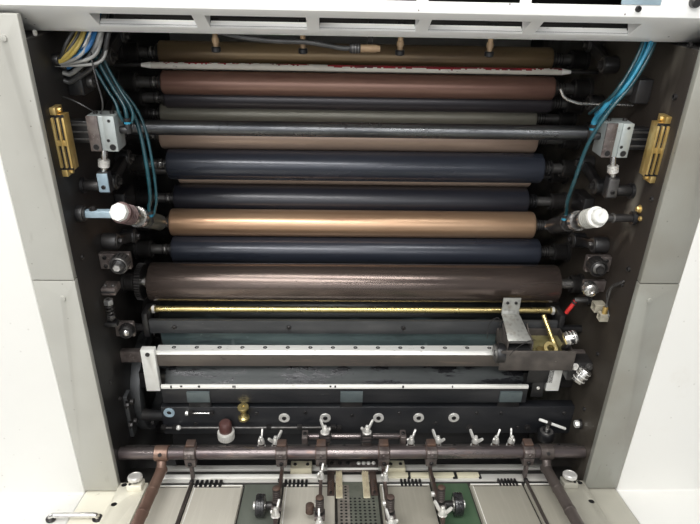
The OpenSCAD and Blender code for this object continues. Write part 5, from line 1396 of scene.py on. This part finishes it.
# White strips along each plate's far edge are painted highlight; thin white lines run along the plates and dark lines
# across them
p = Piece("table_edge_highlights_and_lines", UNIT @ BOARD, slot="table_steel")
for a, b in SPANS:
    p.box((a + 0.6, -6.2, -0.2), (b - 0.6, -3.4, 0.5), white_edge, 0.3, 1)
    p.box((a + 4, -TABLE_LEN + 4, -0.2), (a + 5.6, -9, 0.25), white_edge, 0.15, 1)
    p.box((a + 4, -11, -0.2), (b - 4, -9.4, 0.25), bearing, 0.15, 1)
p.done()

p = built("thumb_screws", matrix=UNIT @ BOARD)
for s in (-1, 1):
    x = s * 416
    # The right block gets the darker copy of the cream paint: painted shade
    p.box((x - 14, -28, 5), (x + 14, -4, 17), rail_mat if s < 0 else rail_painted_shade, 1.6, 3)
    p.cyl((x, -16, 17), (x, -16, 23), 12, bearing, 0.8, 28)
    p.lathe([(0, 0), (0, 11.4), (1.4, 13), (6.6, 13), (8.4, 11.8), (9, 9.6), (8.2, 8.8), (8.2, 0)], (x, -16, 23),
            UP, nut_mat, 44)
    p.knurls((x, -16, 23), 12.9, 24, (-0.8, -0.4, 1.2), (0.8, 0.5, 7), nut_mat, r=0.25)
    p.cap_screw((x + s * 8, -24, 17), UP, 5, bearing, 2)
p.done()

# Strips, combs, cream blocks, bridge and brushes where the sheets enter the unit
random.seed(3)
p = built("end_strips", matrix=UNIT @ BOARD)
p.box((-395, 10, -6), (395, 31, -2), strip_steel, 1)
p.box((-395, 47, -6), (395, 61, 0), strip_steel, 1)
p.box((-395, 19, -2), (-60, 31, 0), white_edge, 0.7)
for a, b in ((66, 108), (113, 200), (206, 250)):
    p.box((a, 17, -2), (b, 31, 3), cream, 1.2)
# Near-black notches beside the cream blocks: painted shade
for x in (109, 199, 203, 251):
    p.box((x - 2.6, 14, -2), (x + 2.6, 31, 1.4), hole_black, 0.5, 1)
for a, b in ((-127, -84), (66, 104)):
    p.box((a, 34, -6), (b, 61, 10), cream, 1.8, 3)
    for x in (a + 9, b - 9):
        p.cap_screw((x, 47, 10), UP, 7, bearing, 2.4)
for a, b in ((-308, -253), (-136, -88), (90, 134), (283, 322)):
    for i in range(6):
        x0 = a + (b - a) * i / 6
        x1 = x0 + (b - a) * 0.1
        p.box((x0, -11, 0.1), (x1, 9.8, 3), black, 0.7)
        p.box((x0, -2.8, -6), (x1, 9.8, 1), black, 0.5, 1)
for x in (-30, 22):
    p.box((x - 6.5, -46, 0.3), (x + 6.5, 31, 3), cream, 0.8)
    for i in range(5):
        for j in range(26):
            cx, cy = x - 5 + 2.5 * i + random.uniform(-0.5, 0.5), -44 + 2.9 * j + random.uniform(-0.6, 0.6)
            lean = random.uniform(-0.9, 0.9)
            p.cyl((cx, cy, 2.6), (cx + lean, cy + random.uniform(-0.9, 0.9), 8.9 + random.uniform(-1.2, 0)), 2.0,
                  bristle, 0.2, 5, 1.1)
for x in (-46, 37):
    p.spring((x, 1, 5.6), (x, -35, 5.6), 8.6, 2.2, 6, rust_top)
    p.cyl((x, 3, 5.6), (x, -37, 5.6), 3.4, bearing, 0.4, 14)
p.box((-53, 34, 0), (49, 60, 12), clamp_face, 1.4, 3)
p.box((-53, 31, 8), (49, 34, 12), white_edge, 0.7)
for i in range(4):
    p.lathe([(0, 0), (0, 3), (0.6, 4), (2.4, 4.4), (4.6, 3.4), (5.4, 1.6), (5.6, 0)], (10 + 10 * i, 45, 12), UP,
            nut_mat, 20)
for x in (-45, -28, -12):
    p.cap_screw((x, 47, 12), UP, 8, bearing, 3)
for x in (-53, 30):
    p.box((x, -38, 0.3), (x + 14, 34, 2.9), rusty, 0.6)
p.done()

# Flat rail with its wing nuts, posts and the short bar
Z_RAIL = TABLE_H + 43
p = built("nut_rail")
p.box((-HALF, 40.5, Z_RAIL), (HALF, 53, Z_RAIL + 8), bar_grey, 1.4, 3)
for x, a in ((-183, 40), (-155, 0), (112, 10), (165, 80), (240, 80), (281, 10), (312, 40)):
    p.disc((x, 46.75, Z_RAIL + 8), UP, 3, 8.6, 1.6, nut_mat, 30)
    p.lathe([(1.4, 0), (1.4, 6), (9.4, 5.6), (10, 5), (10, 0)], (x, 46.75, Z_RAIL + 8), UP, rusty, 28)
    p.wing_nut((x, 46.75, Z_RAIL + 18), a)
for x, a in ((-58, 80), (24, 0)):
    p.box((x - 9, 42, Z_RAIL + 8), (x + 9, 55, Z_RAIL + 44), clamp_face, 1.6, 3)
    for i in range(3):
        p.box((x - 12, 40, Z_RAIL + 22 + 8 * i), (x + 12, 57, Z_RAIL + 25 + 8 * i), bearing, 0.9)
    p.disc((x, 48, Z_RAIL + 43.4), UP, 3, 9, 1.4, nut_mat, 30)
    p.wing_nut((x, 48, Z_RAIL + 44), a)
p.cyl((-92, 68, Z_RAIL + 14), (92, 68, Z_RAIL + 14), 12, bar_purple, 1, 36)
for x in (-98, 98):
    p.box((x - 6, 53, Z_RAIL + 1), (x + 6, 76, Z_RAIL + 24), clamp_face, 1.6, 3)
    p.cap_screw((x, 64, Z_RAIL + 24), UP, 8, bearing, 3)
p.box((-48, 42, Z_RAIL - 14), (-12, 53, Z_RAIL), cream, 1.6, 3)
for x in (-400, -330, -250, -90, -20, 60, 200, 350, 410):
    p.cap_screw((x, 46.75, Z_RAIL + 8), UP, 7, bearing, 2.6)
p.done()

# Clamps round the front bar: a block with its jaw, rusty top and screws
Z_BAR = BAR_C[1]
p = built("bar_clamps")
for x in CLAMP_X:
    p.prism(((6, Z_BAR - 20), (9, Z_BAR - 24), (33, Z_BAR - 24), (36, Z_BAR - 21), (36, Z_BAR + 15), (11, Z_BAR + 15),
             (6, Z_BAR + 11)), x - 10, x + 10, clamp_face, 1.5, 3)
    p.box((x - 9, 20, Z_BAR + 15), (x + 9, 37, Z_BAR + 21), rust_top, 1.6, 3)
    # Near-black slit of the jaw: painted shade
    p.box((x - 10.2, 5.6, Z_BAR - 2.2), (x + 10.2, 12, Z_BAR - 0.6), hole_black, 0.3, 1)
    p.cap_screw((x, 6, Z_BAR + 6), FRONT, 8, clamp_face, 3.4)
    p.cap_screw((x, 6, Z_BAR - 13), FRONT, 8, bearing, 3.4)
    for s in (-1, 1):
        p.disc((x + s * 10, *BAR_C), (s, 0, 0), 12.1, 14.4, 1.6, rusty, 40)
for x in (CLAMP_X[0], CLAMP_X[5]):
    p.box((x - 3, 8, Z_BAR - 58), (x + 3, 20, Z_BAR - 24), clamp_face, 1)
    p.cyl((x, 12, 3.6), (x, -360, 3.6), 6, rod_dark, 0.8, 24, None, BOARD)
    p.disc((x, 4, 3.6), FRONT, 2.9, 4.6, 8, bearing, 24, BOARD)
p.done()

p = built("wheel_arms")
for i in range(1, 5):
    x = CLAMP_X[i]
    post = -107 if i in (1, 4) else -132
    side = 1 if i in (1, 2) else -1
    p.box((x - 3, 8, Z_BAR - 44), (x + 3, 20, Z_BAR - 23), clamp_face, 1)
    p.prism(((post - 34, 17), (post - 30, 14), (2, 14), (8, 20), (8, 30), (post + 12, 30), (post + 4, 31),
             (post - 34, 31)), x - 3, x + 3, rusty, 0.9, 2, BOARD)
    p.box((x - 9, post - 12, 30), (x + 9, post + 12, 38), clamp_face, 1.6, 3, BOARD)
    p.box((x - 4.4, post + 20, 17), (x + 4.4, post + 30, 28), bearing, 1, 2, BOARD)
    p.lathe([(0, 0), (0, 8.6), (2, 8.6), (2.6, 5.4), (27.4, 5.4), (28, 7), (30, 7), (30, 0)], (x, post, 38), UP,
            bearing, 32, BOARD)
    p.spring((x, post, 41), (x, post, 65), 12.4, 2.4, 6, rod_dark, BOARD)
    p.lathe([(30, 0), (30, 6.8), (31.4, 7), (33, 6), (34, 3.6), (34, 0)], (x, post, 38), UP, rust_top, 28, BOARD)
    p.disc((x, post - 22, 30), UP, 3, 8, 1.2, nut_mat, 28, BOARD)
    p.wing_nut((x, post - 22, 31), i * 25, matrix=BOARD)
    p.lathe([(0, 0), (0, 4.4), (0.8, 5), (5.2, 5), (6, 4.4), (6, 0)], (x - 9, post + 44, 22), ALONG, nut_mat, 24,
            BOARD)
    p.cap_screw((x - side * 3, -20, 22), (-side, 0, 0), 7, bearing, 2.6, BOARD)
wy, wz = -86, WHEEL_R - 3 + 0.3  # axle of the wheels, on the board's plane
for s in (-1, 1):
    inner, hub = CLAMP_X[1 if s < 0 else 4], WHEEL_X[0 if s < 0 else 1]
    p.cyl((inner, wy, wz), (hub + s * 11, wy, wz), 8, chrome, 0.8, 28, None, BOARD)
    p.lathe([(0, 4), (0, 6.4), (0.6, 7), (3.4, 7), (4, 6.4), (4, 4)], (hub + s * 9, wy, wz), (s, 0, 0), nut_mat, 32,
            BOARD, True)
    p.cyl((inner, wy, wz), (hub - s * 9, wy, wz), 14, bearing, 1, 32, None, BOARD)
p.cyl((-83, -102, 14), (-83, -102, 32), 15, rust_top, 1.6, 32, None, BOARD)
p.cyl((-83, -102, 22), (-65, -102, 22), 6, bearing, 0.8, 20, None, BOARD)
p.wing_nut((CLAMP_X[2], -24, 30), 30, matrix=BOARD)
p.wing_nut((CLAMP_X[3], -30, 30), 200, matrix=BOARD)
p.done()

p = built("push_rods")
for x, mt in zip(ROD_X, (rod_brown, rod_dark)):
    p.lathe([(-13, 12.3), (-13, 14), (-12, 15), (12, 15), (13, 14), (13, 12.3)], (x, *BAR_C), ALONG, mt, 44, None,
            True)
    p.cyl((x, BAR_C[0] - 8.4, Z_BAR - 11.2), (x, BAR_C[0] - 19.6, Z_BAR - 26), 18, mt, 1, 32)
    p.lathe([(0, 0), (0.6, 4), (2.4, 7.6), (5.6, 10.4), (9.6, 11.6), (13, 11), (16, 10), (436, 10), (438, 8.6),
             (438, 0)], (x, 8, 33), FRONT, mt, 36, BOARD)
    for k in (60, 120, 200):
        p.disc((x, -k, 33), FRONT, 9.8, 10.7, 7, mt, 36, BOARD)
    p.cap_screw((x, BAR_C[0] - 13, Z_BAR + 8), (0, -0.86, 0.5), 7, bearing, 3)
p.cyl((20 - HALF, -424, 33), (HALF - 20, -424, 33), 15, bar_purple, 1, 32, None, BOARD)
for s in (-1, 1):
    p.box((s * 424 - 8, -436, 5), (s * 424 + 8, -412, 44), clamp_face, 1.6, 3, BOARD)
p.done()

y = -85
foot = ARM_TOP + (5 - y) * math.tan(math.radians(SLOPE)) + 0.1
x0, x1, z = -HALF - FRAME_T - 31, -HALF - 14, foot + 9
p = built("tube_handle")
p.tube(((x0, y, foot), (x0, y, foot + 4), (x0 + 1.4, y, z - 2), (x0 + 6, y, z), (x0 + 14, y, z), (x1 - 14, y, z),
        (x1 - 6, y, z), (x1 - 1.4, y, z - 2), (x1, y, foot + 4), (x1, y, foot)), 10, chrome, 20, 6)
for x in (x0, x1):
    p.disc((x, y, foot), UP, 4.8, 9, 2.4, bearing, 32)
p.done()

# Wheels: a tyre with its tread grooves on a steel hub with holes
for side, x in zip(("left", "right"), WHEEL_X):
    n = "hold_down_wheel_" + side
    p = built(n, "_turned", UNIT @ BOARD, n)
    at = (x, wy, wz)
    p.lathe([(-8, 13.4), (-8, 18.6), (-7.2, 20), (-5.4, 20.5), (-2.6, 20.5), (-2.1, 19.8), (-1.4, 19.8), (-0.9, 20.5),
             (0.9, 20.5), (1.4, 19.8), (2.1, 19.8), (2.6, 20.5), (5.4, 20.5), (7.2, 20), (8, 18.6), (8, 13.4)],
            at, ALONG, tyre, 56, None, True)
    p.lathe([(-7.4, 10.6), (-7.4, 13.4), (7.4, 13.4), (7.4, 10.6), (5, 9.8), (5, 4.1), (-5, 4.1), (-5, 9.8)], at,
            ALONG, strip_steel, 48, None, True)
    for s in (-1, 1):
        p.lathe([(5, 4.1), (5, 7), (7.8, 6.6), (7.8, 4.1)], at, (s, 0, 0), nut_mat, 36, None, True)
        for k in range(5):
            a = 2 * math.pi * k / 5
            p.cap_screw((x + s * 4.8, wy + 8.4 * math.cos(a), wz + 8.4 * math.sin(a)), (s, 0, 0), 2.6, bearing, 1.2)
    p.done()

# ---------------------------------------------------------------- floor and light
bm = bmesh.new()
bm.faces.new([bm.verts.new(c) for c in ((-9, -9, 0), (9, -9, 0), (9, 9, 0), (-9, 9, 0))])
mesh = bpy.data.meshes.new("floor_mesh")
bm.to_mesh(mesh)
bm.free()
mesh.materials.append(floor_mat)
floor = bpy.data.objects.new("floor", mesh)
bpy.context.scene.collection.objects.link(floor)

world = bpy.data.worlds.new("world")
bpy.context.scene.world = world
world.use_nodes = True
world.node_tree.nodes["Background"].inputs[0].default_value = (0.95, 0.97, 1.0, 1)
world.node_tree.nodes["Background"].inputs[1].default_value = 0.23


def lamp(name, place, target, size, power, colour=(1, 1, 1)):
    data = bpy.data.lights.new(name, "AREA")
    data.shape = "RECTANGLE"
    data.size, data.size_y = size
    data.energy = power
    data.color = colour
    o = bpy.data.objects.new(name, data)
    bpy.context.scene.collection.objects.link(o)
    o.location = place
    o.rotation_euler = (Vector(target) - Vector(place)).to_track_quat("-Z", "Y").to_euler()


lamp("key", (-0.9, -2.0, 3.1), (0, 0.1, 1.1), (2.4, 0.35), 52, (1, 0.99, 0.97))
lamp("overhead", (-0.2, -0.95, 3.3), (0, -0.2, 0.9), (2.4, 0.3), 40, (1, 0.99, 0.97))
lamp("front_strip", (-0.1, -2.6, 2.2), (0, 0.2, 1.1), (2.6, 0.14), 13, (1, 1, 1))
lamp("fill", (-0.4, -2.8, 1.5), (0, 0.2, 1.1), (2.6, 1.0), 9, (0.97, 0.98, 1))
lamp("back", (0.5, 3.4, 3.2), (0, 0.2, 1.0), (3.0, 1.6), 70, (1, 0.99, 0.97))
lamp("side_left", (-3.6, 0.2, 2.4), (0, 0.1, 0.9), (2.4, 1.6), 36, (1, 1, 1))
lamp("side_right", (3.6, 0.2, 2.4), (0, 0.1, 0.9), (2.4, 1.6), 22, (1, 1, 1))
